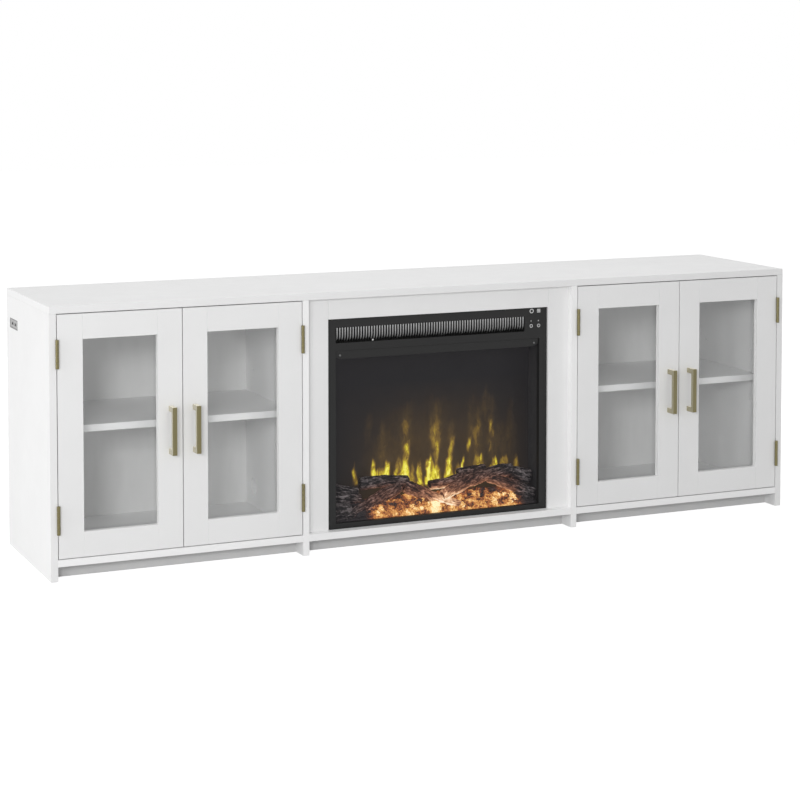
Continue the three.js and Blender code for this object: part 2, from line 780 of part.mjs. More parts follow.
// Rotor: a shaft with small mirror flags, each turned on from the last
function addFlameRotor() {
  const shaftStart = -chamberHalf + motorLength + insertGap;
  const shaftEnd = chamberHalf - bossReach - insertGap;
  const shaftLength = shaftEnd - shaftStart;
  const middleX = (shaftStart + shaftEnd) / 2;
  const pieces = [rodX(shaftRadius, shaftLength, pinSides)];
  const flagCount = Math.floor((shaftLength - flagPitch) / flagPitch);
  for (let index = 0; index < flagCount; index += 1) {
    const flag = new THREE.BoxGeometry(flagWidth, flagThickness, 2 * rotorRadius);
    flag.rotateX(index * flagTurn);
    pieces.push(flag.translate((index - (flagCount - 1) / 2) * flagPitch, 0, 0));
  }
  const rotor = addPiece(insert, 'flame_rotor', join(pieces), mirrorFoil);
  rotor.position.set(middleX, rotorSetback, rotorRise);
  const motor = addPiece(insert, 'rotor_motor', rodX(motorRadius, motorLength, wheelSides), greyPlastic);
  motor.position.set(-chamberHalf + motorLength / 2, rotorSetback, rotorRise);
}

// Blower: a cross-flow wheel in a duct that opens towards the louvre
function addBlower() {
  const ductFrontY = frontDepth + insertGap + grilleBack + ductFrontGap;
  const ductBackY = ductFrontY + ductDepth;
  const ductTopZ = deckTopZ + ductHeight;
  const halfLength = ductLength / 2;
  const wheelY = ductFrontY + (ductDepth - sheet) / 2;
  const wheelZ = deckTopZ + ductHeight / 2;
  const outer = block([-halfLength, ductFrontY, deckTopZ], [halfLength, ductBackY, ductTopZ]);
  const inner = block(
    [-halfLength + sheet, ductFrontY - overrun, deckTopZ + sheet],
    [halfLength - sheet, ductBackY - sheet, ductTopZ - sheet],
  );
  const intake = block(
    [-halfLength + intakeEndGap, ductBackY - sheet - overrun, wheelZ - intakeHeight / 2],
    [halfLength - intakeEndGap, ductBackY + overrun, wheelZ + intakeHeight / 2],
  );
  const shaftHole = rodX(shaftRadius + insertGap, ductLength + overrun, pinSides).translate(0, wheelY, wheelZ);
  const motorCan = rodX(blowerMotorRadius, blowerMotorLength, wheelSides);
  motorCan.translate(halfLength + blowerMotorLength / 2, wheelY, wheelZ);
  const duct = join([cut(outer, [inner, intake, shaftHole]), motorCan]);
  addPiece(insert, 'heater_duct', duct, zincSheet);

  const wheelLength = ductLength - 2 * (sheet + wheelEndGap);
  const pieces = [rodX(shaftRadius, ductLength - 2 * insertGap, pinSides)];
  for (const place of [-1, 0, 1]) {
    const disc = rodX(wheelRadius, discThickness, wheelSides);
    pieces.push(disc.translate(place * (wheelLength - discThickness) / 2, 0, 0));
  }
  for (let index = 0; index < bladeCount; index += 1) {
    const blade = new THREE.BoxGeometry(wheelLength, bladeThickness, bladeDepth);
    blade.translate(0, 0, wheelRadius - bladeDepth / 2 - discThickness / 2);
    pieces.push(blade.rotateX(index * 2 * Math.PI / bladeCount));
  }
  const wheel = addPiece(insert, 'blower_wheel', join(pieces), zincSheet);
  wheel.position.set(0, wheelY, wheelZ);
}

// Gland: a sleeve through the housing's back, with a flange outside
function addCordGland() {
  const outline = [
    new THREE.Vector2(glandBore, -sheet - seatGap),
    new THREE.Vector2(glandBody, -sheet - seatGap),
    new THREE.Vector2(glandBody, insertGap),
    new THREE.Vector2(glandFlange, insertGap),
    new THREE.Vector2(glandFlange, insertGap + glandFlangeThickness),
    new THREE.Vector2(glandBody, insertGap + glandNose),
    new THREE.Vector2(glandBore, insertGap + glandNose),
    new THREE.Vector2(glandBore, -sheet - seatGap),
  ];
  const gland = addPiece(insert, 'cord_gland', new THREE.LatheGeometry(outline, holeSides), blackPlastic);
  gland.position.set(glandOffset, housingBackY, glandRise);
}

addTop();
addSidePanel(-1, 'left_side_panel');
addSidePanel(1, 'right_side_panel');
addDivider(-1, 'left_divider');
addDivider(1, 'right_divider');
Object.keys(bays).forEach(addBottomAndKick);
addBack();
addShelf('left');
addShelf('right');
addSurround();
addChargingPlate();

addDoor('left_outer', -sideInnerX + doorGap / 2, 1);
addDoor('left_inner', -dividerOuterX - doorGap / 2, -1);
addDoor('right_inner', dividerOuterX + doorGap / 2, 1);
addDoor('right_outer', sideInnerX - doorGap / 2, -1);

addFrontFrame();
addLouvre();
addDeflectorLip();
addHousing();
addFireGlass();
addFlameScreen();
addControlBoard();
addFireBed();
addFlameRotor();
addBlower();
addCordGland();

export default stand;
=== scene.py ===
"""Looks for the fireplace TV stand: boards, glazed doors, brass fittings and the glowing fire, in metres."""

import math
import random

import bmesh
import bpy
from mathutils import Matrix, Vector, noise


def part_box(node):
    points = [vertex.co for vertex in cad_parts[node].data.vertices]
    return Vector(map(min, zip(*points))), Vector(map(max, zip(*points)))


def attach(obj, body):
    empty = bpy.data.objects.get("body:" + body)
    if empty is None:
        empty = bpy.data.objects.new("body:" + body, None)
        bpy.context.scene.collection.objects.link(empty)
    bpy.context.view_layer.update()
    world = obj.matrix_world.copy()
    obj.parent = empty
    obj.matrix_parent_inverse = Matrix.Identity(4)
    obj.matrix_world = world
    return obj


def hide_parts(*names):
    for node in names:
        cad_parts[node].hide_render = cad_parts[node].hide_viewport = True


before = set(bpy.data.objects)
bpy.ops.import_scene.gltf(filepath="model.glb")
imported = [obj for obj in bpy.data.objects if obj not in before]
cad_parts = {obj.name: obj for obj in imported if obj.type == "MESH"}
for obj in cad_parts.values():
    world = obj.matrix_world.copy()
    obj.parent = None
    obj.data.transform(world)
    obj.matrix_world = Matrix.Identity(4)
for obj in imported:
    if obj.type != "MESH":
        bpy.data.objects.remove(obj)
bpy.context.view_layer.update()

MM = 0.001
DOORS = ("left_outer", "left_inner", "right_inner", "right_outer")
BAYS = ("left", "centre", "right")

# Camera
CAMERA_PLACE = (-2.079, -4.621, 1.184)
CAMERA_YAW = math.radians(23.875)
CAMERA_PITCH = math.radians(3.278)
CAMERA_LENS = 94.41
CAMERA_SHIFT = -0.30
CAMERA_REACH = 60
SENSOR = 36.0

# Floor and room: SHADE, GLOW and SEEN are for what the camera sees
FLOOR_REACH = 14.0
FLOOR_DROP = 0.5 * MM
FLOOR_GREY = 0.56
FLOOR_SHADE = 0.42
FLOOR_GLOW = 0.88
ROOM_LIGHT = 0.5
ROOM_SEEN = 1.0

# Lamps: name, place, target, width and power
FRONT_TARGET = (-0.2, -0.18, 0.3)
LAMPS = (
    ("main", (-2.9, -4.8, 1.8), FRONT_TARGET, 0.8, 77.0),
    ("key", (-4.4, -4.3, 2.1), FRONT_TARGET, 0.5, 23.0),
    ("low", (-4.2, -4.4, 1.2), FRONT_TARGET, 0.8, 16.0),
    ("fill", (0.6, -5.5, 1.4), (0.1, -0.18, 0.3), 3.0, 15.0),
    ("side", (-4.5, -0.3, 1.2), (-0.95, 0.0, 0.3), 2.5, 54.0),
    ("top", (0.2, 0.2, 3.4), (0.0, 0.0, 0.6), 2.6, 27.0),
)

# Mesh clean-up and edge rounding of each kind of piece
WELD_REACH = 0.01 * MM
FLAT_ANGLE = math.radians(0.4)
EDGE_ANGLE = math.radians(38)
BOARD_EDGE = 0.7 * MM
DOOR_EDGE = 0.5 * MM
PULL_EDGE = 0.6 * MM
METAL_EDGE = 0.5 * MM
THIN_EDGE = 0.3 * MM

# Tones of the boards and of the brass
OUTER_WHITE = 0.82
# Inner boards lighter than the outer ones: painted light in the bays.
INNER_WHITE_PAINTED_LIGHT = 0.905
# Kick boards darker than the others: painted shade in the recess under the bottom boards.
KICK_WHITE_PAINTED_SHADE = 0.62
WHITE_CLOUD = 0.011
BRASS_FRONT = (0.150, 0.128, 0.050)
BRASS_DARK = (0.116, 0.098, 0.034)
# Pale side tone of the pulls: painted light on the faces that do not face the front; the hinges' side tone is close
# to the front tone.
PULL_SIDE_PAINTED_LIGHT = (0.34, 0.305, 0.18)
HINGE_SIDE = (0.15, 0.13, 0.06)

# Glass: tint and shine of the door panes, and the even painted glow on the fire's glass and screen, which stands for
# the light they reflect
PANE_TINT = (0.993, 0.996, 0.995)
PANE_SHINE = 0.045
GLASS_PAINTED_GLOW = 0.0055
SCREEN_PAINTED_GLOW = 0.0076

# The part of a noise's range that it seldom leaves
NOISE_SPAN = (0.3, 0.7)

# Hinges
KNUCKLES = 5
KNUCKLE_GAP = 0.3 * MM
KNUCKLE_ROUND = 0.35 * MM
LEAF_GAP = 0.2 * MM
LEAF_THICKNESS = 0.8 * MM
LEAF_SETBACK = 0.6 * MM
LEAF_EDGE = 0.1 * MM
PIN_SHARE = 0.42
PIN_SUNK = 0.3 * MM

# Louvre: fins with a bowed nose between two bars. The nose is in shares of the fin's width: across and back.
FIN_PITCH = 6.7 * MM
FIN_WIDTH = 3.0 * MM
FIN_BOW = 9.0 * MM
FIN_STEPS = 14
FIN_END_GAP = 0.3 * MM
FIN_NOSE = ((-0.5, 0.16), (-0.3, 0.0), (0.3, 0.0), (0.5, 0.16))
GRILLE_BAR = 4.0 * MM
GRILLE_BAR_HEIGHT = 1.5 * GRILLE_BAR
GRILLE_BAR_DEPTH = 3.0 * MM
GRILLE_EDGE = 0.3 * MM

# Ember bed: its lip, its climb, and the lumps of the mound as fineness and height
BED_LIP = 9 * MM
BED_RISE = 42 * MM
BED_COLUMNS = 300
BED_ROWS = 30
SWELL_POWER = 6
CLIMB_POWER = 0.7
MOUND_LUMPS = ((60, 3.2 * MM), (150, 1.6 * MM))
MOUND_DROP = 1.5 * MM
MOUND_GLOW = 0.8
LUMP_GLOW = 30
LIP_GLOW = 0.6
LIP_SLOPE = 4

# Loose coals, and the ranges that each one's place, brightness and stretch are drawn from
CHUNK_COUNT = 230
CHUNK_SEED = 7
CHUNK_SIZES = (5.0, 11.0)
CHUNK_ACROSS = (-0.97, 0.97)
CHUNK_DEPTHS = (0.08, 0.96)
CHUNK_CROWDING = 0.8
CHUNK_SUNK = 0.35
CHUNK_BRIGHTNESS = (-0.32, 0.40)
CHUNK_STRETCH = ((0.9, 1.5), (0.7, 1.0), (0.55, 0.85))

# Dents and cracks of a coal, and its glow: a base, and what facing out and its cracks add
DENT_FINENESS, DENT_SIZE = 1.7, 0.55
CRACK_FINENESS, CRACK_SIZE, CRACK_END = 3.6, 0.30, 0.5
CHUNK_GLOW, FACING_GLOW = 0.60, 0.75
CRACK_GLOW, CRACK_GLOW_END = 0.7, 0.35

# Glow of the bed, in millimetres from the middle and above the bed's floor: where it ends at each side, its fade
# with height, and the places where the lamp below shines through: x, z, reach, strength
GLOW_LEFT = -196
GLOW_RIGHT = 246
GLOW_FADE = 46
GLOW_LOW = 6
GLOW_HIGH = 52
GLOW_BASE = 0.26
HOT_SPOTS = (
    (-8, 16, 19, 0.56), (40, 30, 22, 0.30), (-150, 16, 24, 0.16), (-95, 18, 26, 0.20), (-52, 16, 20, 0.16),
    (95, 14, 22, 0.14), (142, 26, 24, 0.14), (205, 22, 24, 0.24),
)

# Where the bed's glow reaches the logs: x, z, reach, strength. The underside takes more of it than the top.
LOG_GLOW = (
    (34, 30, 38, 0.74), (84, 50, 52, 0.38), (0, 48, 46, 0.42), (150, 62, 56, 0.31), (-160, 30, 56, 0.30),
    (-110, 60, 46, 0.24), (-50, 62, 40, 0.26), (200, 46, 40, 0.30),
)
LOG_GLOW_FLATNESS = 1.6
LOG_GLOW_TOP = 0.75
LOG_GLOW_UNDER = 0.5

# Colours along the glow of the coals, and along the ash on the bark
EMBER_BODY = [(0.0, (0.035, 0.030, 0.032)), (0.5, (0.14, 0.060, 0.030)), (1.0, (0.3, 0.20, 0.10))]
EMBER_LIGHT = [(0.0, (0.008, 0.006, 0.007)), (0.2, (0.07, 0.020, 0.009)), (0.38, (0.30, 0.078, 0.018)),
               (0.54, (0.58, 0.255, 0.058)), (0.72, (0.86, 0.52, 0.17)), (0.92, (1.0, 0.82, 0.50))]
BARK_CHAR = [(0.30, (0.004, 0.0035, 0.004)), (0.45, (0.022, 0.018, 0.018)), (0.64, (0.125, 0.109, 0.110)),
             (0.92, (0.35, 0.32, 0.33))]
# Brown bark tones near the glow: painted light from the embers.
BARK_BROWN_PAINTED_GLOW = [(0.28, (0.006, 0.003, 0.002)), (0.50, (0.050, 0.023, 0.016)), (0.70, (0.18, 0.092, 0.064)),
              (0.94, (0.50, 0.29, 0.21))]
BARK_LIGHT = [(0.08, (0.045, 0.014, 0.008)), (0.30, (0.12, 0.044, 0.025)), (0.55, (0.34, 0.145, 0.073)),
              (0.80, (0.78, 0.46, 0.25)), (1.0, (1.0, 0.84, 0.60))]

# Logs. Ends are shares: x of the bed's half width, y of its depth from the front, z of the pile's height.
# Radii are shares of the log radius, at the start and at the end.
PILE_HEIGHT = 100 * MM
PILE_DROP = 2 * MM
PILE_CLEARANCE = 1.0 * MM
LOG_RADIUS = 16 * MM
LOG_SEED_FIRST = 1.7
LOG_SEED_STEP = 7.3
LOG_SHARES = (
    ((-0.64, 1.26, 0.86), (-0.20, 1.02, 0.83), (0.86, 0.80)),
    ((-0.85, 0.16, 0.20), (-0.30, 0.97, 0.76), (0.62, 1.05)),
    ((-0.24, 0.92, 0.75), (0.24, 0.22, 0.24), (0.95, 0.50)),
    ((0.08, 0.36, 0.46), (0.81, 1.16, 0.89), (0.80, 0.94)),
    ((0.00, 0.95, 0.70), (0.34, 1.28, 0.78), (0.64, 0.70)),
    ((0.30, 1.40, 0.84), (0.57, 1.40, 0.92), (0.88, 0.76)),
    ((0.80, 1.12, 0.80), (0.98, 1.02, 0.68), (1.00, 1.00)),
    ((0.80, 0.72, 0.42), (0.98, 0.52, 0.28), (1.10, 0.95)),
    ((0.56, 0.96, 0.74), (0.90, 0.52, 0.36), (0.62, 0.90)),
    ((-0.95, 1.20, 0.84), (-0.68, 0.96, 0.66), (0.78, 0.74)),
    ((-0.95, 0.80, 0.62), (-0.66, 0.84, 0.52), (0.80, 0.72)),
    ((-0.94, 0.42, 0.32), (-0.78, 0.44, 0.36), (1.30, 1.10)),
)

# Shape of a log. Bark and plates are turns round the log, fineness along it and depth. Swell and crest are a base
# and the shares of bark, plates and lumps.
LOG_SIDES = 64
LOG_RINGS = 14
RING_PITCH = 2.4 * MM
LOG_BEND = 0.05
BEND_UP = (3.1, 0.7)
BEND_ACROSS = (9.2, 4.4)
BARK = (2.5, 0.034, 2.2)
PLATES = (4.6, 0.07, 2.0)
LUMPS = (1.2, 0.038)
SWELL = (0.92, 0.17, 0.10, 0.12)
CREST = (0.18, 0.42, 0.36)
BARK_STRETCH = 0.42

# Rough ends of a log: rim, dented ring, sunk middle, bark and glow
END_ROUND = 0.86
END_SLOPE = 8
END_SHARE = 0.62
END_FINENESS = 160
END_DENT = 1.6 * MM
HUB_DENT = 1.2 * MM
END_CREST = 0.3
END_GRAIN = 400
END_GLOW = 0.6

# Warm glow painted on the screen where the flame light falls: heights above its foot, place of its middle, and
# distances from there
SCREEN_GLOW_FULL = 0.08
SCREEN_GLOW_NONE = 0.32
SCREEN_GLOW_MIDDLE = 0.03
SCREEN_GLOW_CORE = 0.06
SCREEN_GLOW_EDGE = 0.27
SCREEN_GLOW_STRENGTH = 0.19

# Light of the flames, from faint to strong
FLAME_LIGHT = [(0.0, (0, 0, 0)), (0.14, (0.040, 0.023, 0.004)), (0.36, (0.175, 0.102, 0.010)),
               (0.60, (0.44, 0.32, 0.016)), (0.82, (0.76, 0.68, 0.030)), (1.0, (0.92, 0.87, 0.18))]

# Shapes of the flames: how fast they narrow towards the tip, and how much of their width is full strength
BODY = (0.34, 0.28)
TONGUE = (0.70, 0.15)
WISP = (0.0, 0.0)

# Flames, in millimetres from the screen's middle and above the chamber's floor board: root x, root z, height,
# half width, lean of the tip, brightness, shape
FLAMES = (
    (-60, 70, 200, 70, 4, 0.05, WISP), (24, 70, 210, 66, 4, 0.05, WISP), (144, 80, 200, 74, 2, 0.046, WISP),
    (-112, 70, 130, 60, 4, 0.07, WISP), (206, 70, 140, 60, 0, 0.07, WISP), (-54, 90, 180, 21, 12, 0.11, WISP),
    (24, 90, 190, 22, 8, 0.14, WISP), (66, 90, 140, 14, 8, 0.13, WISP), (119, 90, 180, 12, 4, 0.09, WISP),
    (139, 90, 160, 18, 2, 0.12, WISP), (174, 96, 180, 13, 3, 0.1, WISP), (158, 210, 84, 12, 6, 0.055, WISP),
    (226, 130, 130, 13, 4, 0.04, WISP), (-150, 176, 80, 15, 6, 0.05, WISP), (-112, 100, 130, 13, 2, 0.09, WISP),
    (-180, 72, 50, 13, -4, 0.46, BODY), (-184, 96, 36, 8, -2, 0.34, TONGUE), (-117, 64, 56, 32, 0, 0.62, BODY),
    (-134, 66, 72, 15, -3, 0.8, BODY), (-102, 66, 78, 14, 2, 0.8, BODY), (-62, 58, 84, 33, -2, 0.46, BODY),
    (-74, 60, 60, 16, -3, 0.42, BODY), (-52, 58, 74, 17, 0, 0.8, BODY), (-50, 110, 66, 11, 4, 0.4, WISP),
    (-46, 130, 50, 10, 3, 0.34, WISP), (-52, 196, 34, 13, 3, 0.24, WISP), (-32, 60, 62, 10, 0, 0.42, BODY),
    (-14, 50, 78, 13, -1, 0.85, BODY), (22, 58, 76, 30, 0, 0.5, BODY), (10, 60, 80, 15, -2, 0.88, BODY),
    (28, 60, 56, 15, 2, 0.44, BODY), (26, 140, 84, 21, 2, 0.22, WISP), (36, 112, 60, 9, -8, 0.44, WISP),
    (62, 70, 66, 18, 3, 0.95, BODY), (66, 116, 40, 9, 2, 0.38, WISP), (70, 140, 50, 8, 8, 0.3, WISP),
    (92, 70, 54, 17, 6, 0.62, BODY), (99, 80, 50, 9, 4, 0.5, TONGUE), (118, 136, 40, 8, 0, 0.44, WISP),
    (144, 70, 66, 28, 0, 0.4, BODY), (146, 84, 52, 13, 3, 0.52, TONGUE), (134, 150, 70, 15, 6, 0.16, WISP),
    (184, 66, 62, 15, 4, 0.72, BODY), (190, 74, 60, 10, 0, 0.5, TONGUE), (206, 66, 58, 20, 12, 0.4, BODY),
    (177, 176, 46, 10, 1, 0.36, WISP), (173, 132, 22, 7, 0, 0.34, WISP), (246, 66, 56, 14, -1, 0.4, BODY),
)

# How the flames add up, lean, widen, dim and fade
FLAME_BLEND = 0.7
LEAN_POWER = 1.5
WISP_ROUND = 0.7
WISP_WIDTH = (0.6, 0.4)
TIP_DIM = 0.35
TIP_FADE = 0.72
ROOT_FADE = 0.12

# Ripples of the rising flames: push or lift, size across, size along, place in the noise
PUSHES = ((5.5, 26, 44, 3.0), (3.4, 9, 17, 8.0))
LIFTS = ((16, 10, 60, 5.0), (8, 4.5, 40, 1.0))

# Sheet that carries the flames, in millimetres, and the line below which the logs hide it, with its dip
FIELD_CELL = 2.5
FIELD_FOOT = 50
FIELD_RISE = 290
FIELD_MARGIN = 1
FAINTEST = 0.006
SHEET_PROUD = 0.4 * MM
HIDDEN_BELOW = 76
HIDDEN_FADE = 10
HIDDEN_DIP = 20
DIP_PLACE = -18
DIP_REACH = 60

# Touch marks and the small light on the fire's front: x and z from the middle of the stand's floor, radius, kind
MARKS = (
    (244.0, 532.0, 5.5, "ring"),
    (263.0, 532.0, 4.5, "square"),
    (242.6, 508.0, 1.3, "dot"),
    (262.4, 508.0, 1.3, "dot"),
    (243.0, 496.0, 4.2, "ring"),
    (263.0, 496.0, 4.2, "ring"),
    (-172.0, 487.0, 2.2, "dot"),
)
MARK_PROUD = 0.15 * MM
MARK_SUNK = 0.05 * MM
RING_SHARE = 0.62
BAR_SHARE = 0.25
BAR_PITCH = 0.7

# Screws of the deflector lip
SCREW_INSET = 12 * MM
SCREW_DROP = 11 * MM
SCREW_RADIUS = 2.6 * MM
SCREW_SUNK = 0.1 * MM
LIP_LEAN = 3 / 20

# Charging plate, in a grey moulding: rim, sunk face, and two ports with a tongue in each
PLATE_FLANGE = 2.0 * MM
PLATE_INSET = 5.0 * MM
PLATE_EDGE = 0.5 * MM
RIM_WIDTH = 2.6 * MM
FACE_SUNK = 0.9 * MM
PORT_LENGTH = 12.5 * MM
PORT_HEIGHT = 5.0 * MM
PORT_DEPTH = 8.0 * MM
PORT_SPACING = 26.0 * MM
COLLAR = 1.2 * MM
COLLAR_PROUD = 0.4 * MM
BLADE_SETBACK = 1.2 * MM
BLADE_END_GAP = 1.5 * MM
BLADE_HALF = 0.9 * MM
BLADE_EDGE = 0.2 * MM


def camera():
    data = bpy.data.cameras.new("camera")
    data.lens = CAMERA_LENS
    data.sensor_width = SENSOR
    data.shift_y = CAMERA_SHIFT
    data.clip_end = CAMERA_REACH
    view = bpy.data.objects.new("camera", data)
    view.location = CAMERA_PLACE
    view.rotation_euler = (math.pi / 2 - CAMERA_PITCH, 0, -CAMERA_YAW)
    bpy.context.scene.collection.objects.link(view)
    bpy.context.scene.camera = view


class Tree:
    """The nodes of a material or a world, with helpers that add and join them."""

    def __init__(self, owner):
        owner.use_nodes = True
        self.nodes = owner.node_tree.nodes
        self.links = owner.node_tree.links
        self.place = None

    def add(self, kind, inputs=None, **settings):
        node = self.nodes.new(kind)
        for key, value in settings.items():
            setattr(node, key, value)
        for key, value in (inputs or {}).items():
            self.put(node, key, value)
        return node

    def put(self, node, key, value):
        if isinstance(value, bpy.types.NodeSocket):
            self.links.new(value, node.inputs[key])
        else:
            node.inputs[key].default_value = value

    def coords(self):
        if self.place is None:
            self.place = self.add("ShaderNodeTexCoord").outputs["Object"]
        return self.place

    def stretched(self, scale):
        return self.add("ShaderNodeMapping", {"Vector": self.coords(), "Scale": scale}).outputs[0]

    def marked(self, name, output="Fac"):
        """A value or vector that the mesh carries at each corner."""
        return self.add("ShaderNodeAttribute", attribute_name=name).outputs[output]

    def noise(self, scale, detail=3.0, rough=0.5, vector=None, distort=0.0):
        inputs = {"Vector": vector or self.coords(), "Scale": scale, "Detail": detail,
                  "Roughness": rough, "Distortion": distort}
        return self.add("ShaderNodeTexNoise", inputs).outputs[0]

    def span(self, value, low, high, to_low, to_high):
        inputs = {0: value, 1: low, 2: high, 3: to_low, 4: to_high}
        return self.add("ShaderNodeMapRange", inputs).outputs[0]

    def vary(self, value, to_low, to_high):
        """Spreads a noise over a range."""
        return self.span(value, *NOISE_SPAN, to_low, to_high)

    def ramp(self, value, stops):
        node = self.add("ShaderNodeValToRGB", {0: value})
        elements = node.color_ramp.elements
        while len(elements) < len(stops):
            elements.new(0.5)
        for element, (position, colour) in zip(elements, stops):
            element.position = position
            element.color = (*colour, 1)
        return node.outputs[0]

    def tones(self, value, first, second):
        """Spreads a noise between two colours."""
        return self.ramp(value, list(zip(NOISE_SPAN, (first, second))))

    def maths(self, operation, *values):
        return self.add("ShaderNodeMath", dict(enumerate(values)), operation=operation).outputs[0]

    def split(self, vector):
        return self.add("ShaderNodeSeparateXYZ", {0: vector}).outputs

    def emission(self, colour, strength):
        return self.add("ShaderNodeEmission", {"Color": colour, "Strength": strength})

    def both(self, first, second):
        """Two shaders on top of each other."""
        return self.add("ShaderNodeAddShader", {0: first.outputs[0], 1: second.outputs[0]})

    def blend(self, share, first, second):
        """The first shader where the share is 0, and the second where it is 1."""
        return self.add("ShaderNodeMixShader", {0: share, 1: first.outputs[0], 2: second.outputs[0]})

    def camera_beams(self):
        """1 for what the camera sees, directly, mirrored or through glass."""
        path = self.add("ShaderNodeLightPath").outputs
        seen = self.maths("MAXIMUM", path["Is Camera Ray"], path["Is Glossy Ray"])
        return self.maths("MAXIMUM", seen, path["Is Transmission Ray"])


class Finish(Tree):
    """A material for the surface of a piece."""

    def __init__(self, name):
        self.material = bpy.data.materials.new(name)
        super().__init__(self.material)
        self.body = self.nodes["Principled BSDF"]

    def set(self, **values):
        for key, value in values.items():
            self.put(self.body, key.replace("_", " "), value)

    def bump(self, height, strength, distance):
        inputs = {"Strength": strength, "Distance": distance, "Height": height}
        self.put(self.body, "Normal", self.add("ShaderNodeBump", inputs).outputs[0])

    def surface(self, shader):
        """Shows a shader in place of the plain body, and gives the material."""
        self.put(self.nodes["Material Output"], "Surface", shader.outputs[0])
        if not self.body.outputs[0].is_linked:
            self.nodes.remove(self.body)
        return self.material


def grey(level):
    return (level, level, level)


def white_board(name, level):
    f = Finish(name)
    cloud = f.noise(9.0, 4.0)
    f.set(Base_Color=f.tones(cloud, grey(level - WHITE_CLOUD), grey(level + WHITE_CLOUD)))
    f.set(Roughness=f.vary(f.noise(40.0), 0.40, 0.52))
    f.bump(f.noise(700.0, 2.0), 0.05, 0.2 * MM)
    return f.material


def back_board():
    f = Finish("back_board")
    fibres = f.noise(60.0, 5.0, vector=f.stretched((1, 1, 0.25)))
    # The back's light level is painted light in the bays; the fibre grain is the board's own.
    f.set(Base_Color=f.tones(fibres, (0.83, 0.829, 0.825), (0.87, 0.869, 0.865)), Roughness=0.75)
    f.bump(f.noise(900.0, 3.0), 0.12, 0.2 * MM)
    return f.material


def brass(name, side, sheen):
    """Lacquered brass with a brushed grain: faces turned to the front are darker, and the others take the given side
    tone, which on the pulls is painted light.
    """
    f = Finish(name)
    grain = f.noise(500.0, 4.0, vector=f.stretched((1, 1, 0.03)))
    turned = f.split(f.add("ShaderNodeTexCoord").outputs["Normal"])[1]
    tone = f.maths("MULTIPLY_ADD", f.maths("ABSOLUTE", turned), 0.9, f.vary(grain, -0.1, 0.1))
    f.set(Base_Color=f.ramp(tone, [(0.0, side), (0.78, BRASS_FRONT), (1.0, BRASS_DARK)]))
    f.set(Roughness=f.vary(grain, 0.30, 0.44), Metallic=1.0)
    f.set(Coat_Weight=0.6, Coat_Roughness=0.25, Coat_IOR=1.6)
    f.set(Sheen_Weight=sheen, Sheen_Roughness=0.45, Sheen_Tint=(1, 0.96, 0.82, 1))
    f.bump(grain, 0.08, 0.1 * MM)
    return f.material


def black_metal():
    f = Finish("black_metal")
    speck = f.noise(1400.0, 2.0)
    f.set(Base_Color=f.tones(speck, grey(0.010), grey(0.016)))
    f.set(Roughness=f.vary(speck, 0.44, 0.58), Specular_IOR_Level=0.26)
    f.bump(speck, 0.15, 0.15 * MM)
    return f.material


def fin_metal(low_z, high_z):
    """Bright steel noses of the louvre fins; the darkening towards their lower ends is painted shade."""
    f = Finish("fin_metal")
    height = f.span(f.split(f.coords())[2], low_z, high_z, 0.0, 1.0)
    shade = f.maths("ADD", height, f.vary(f.noise(60.0), -0.10, 0.10))
    f.set(Base_Color=f.ramp(shade, [(0.12, grey(0.012)), (0.42, grey(0.20)), (0.95, grey(0.42))]), Roughness=0.42)
    return f.material


def zinc_sheet():
    f = Finish("zinc_sheet")
    spangle = f.add("ShaderNodeTexVoronoi", {"Vector": f.coords(), "Scale": 120.0}).outputs["Color"]
    value = f.split(spangle)[0]
    f.set(Base_Color=f.ramp(value, [(0.0, (0.42, 0.43, 0.44)), (1.0, (0.52, 0.53, 0.54))]))
    f.set(Roughness=f.span(value, 0.0, 1.0, 0.34, 0.48), Metallic=1.0)
    return f.material


def moulded(name, level, roughness=0.5):
    """Fine-grained plastic or powder paint in a grey."""
    f = Finish(name)
    grain = f.noise(1600.0, 2.0)
    f.set(Base_Color=f.tones(grain, grey(level), grey(level * 1.15)), Roughness=roughness)
    f.bump(grain, 0.1, 0.1 * MM)
    return f.material


def circuit_board():
    f = Finish("circuit_board")
    cells = f.add("ShaderNodeTexVoronoi", {"Vector": f.coords(), "Scale": 300.0}).outputs["Distance"]
    f.set(Base_Color=f.ramp(cells, [(0.2, (0.02, 0.10, 0.04)), (0.5, (0.03, 0.15, 0.06))]), Roughness=0.35)
    return f.material


def mirror_foil():
    f = Finish("mirror_foil")
    f.set(Base_Color=(0.8, 0.8, 0.8, 1), Metallic=1.0, Roughness=f.vary(f.noise(200.0), 0.1, 0.3))
    return f.material


def dark_steel():
    f = Finish("dark_steel")
    f.set(Base_Color=(*grey(0.16), 1), Metallic=1.0, Roughness=0.45)
    return f.material


def mark_print():
    f = Finish("mark_print")
    f.set(Base_Color=(*grey(0.5), 1), Roughness=0.4, Emission_Color=(*grey(0.5), 1), Emission_Strength=0.12)
    return f.material


def clear_pane():
    """Flat glass: it shows what is behind it, tinted, under a mirror gloss that grows towards grazing angles."""
    f = Finish("door_glass")
    through = f.add("ShaderNodeBsdfTransparent", {"Color": (*PANE_TINT, 1)})
    gloss = f.add("ShaderNodeBsdfGlossy", {"Roughness": 0.02, "Color": (1, 1, 1, 1)})
    turned = f.add("ShaderNodeLayerWeight", {"Blend": 0.5}).outputs["Facing"]
    share = f.maths("MULTIPLY_ADD", f.maths("POWER", turned, 5.0), 1 - PANE_SHINE, PANE_SHINE)
    return f.surface(f.blend(share, through, gloss))


def smoked_pane():
    """The fire's glass: nearly clear, with a thin even painted glow, the same from every side, that stands for the
    light it reflects.
    """
    f = Finish("fire_glass")
    through = f.add("ShaderNodeBsdfTransparent", {"Color": (0.97, 0.97, 0.97, 1)})
    return f.surface(f.both(through, f.emission((0.97, 0.92, 1.0, 1), GLASS_PAINTED_GLOW)))


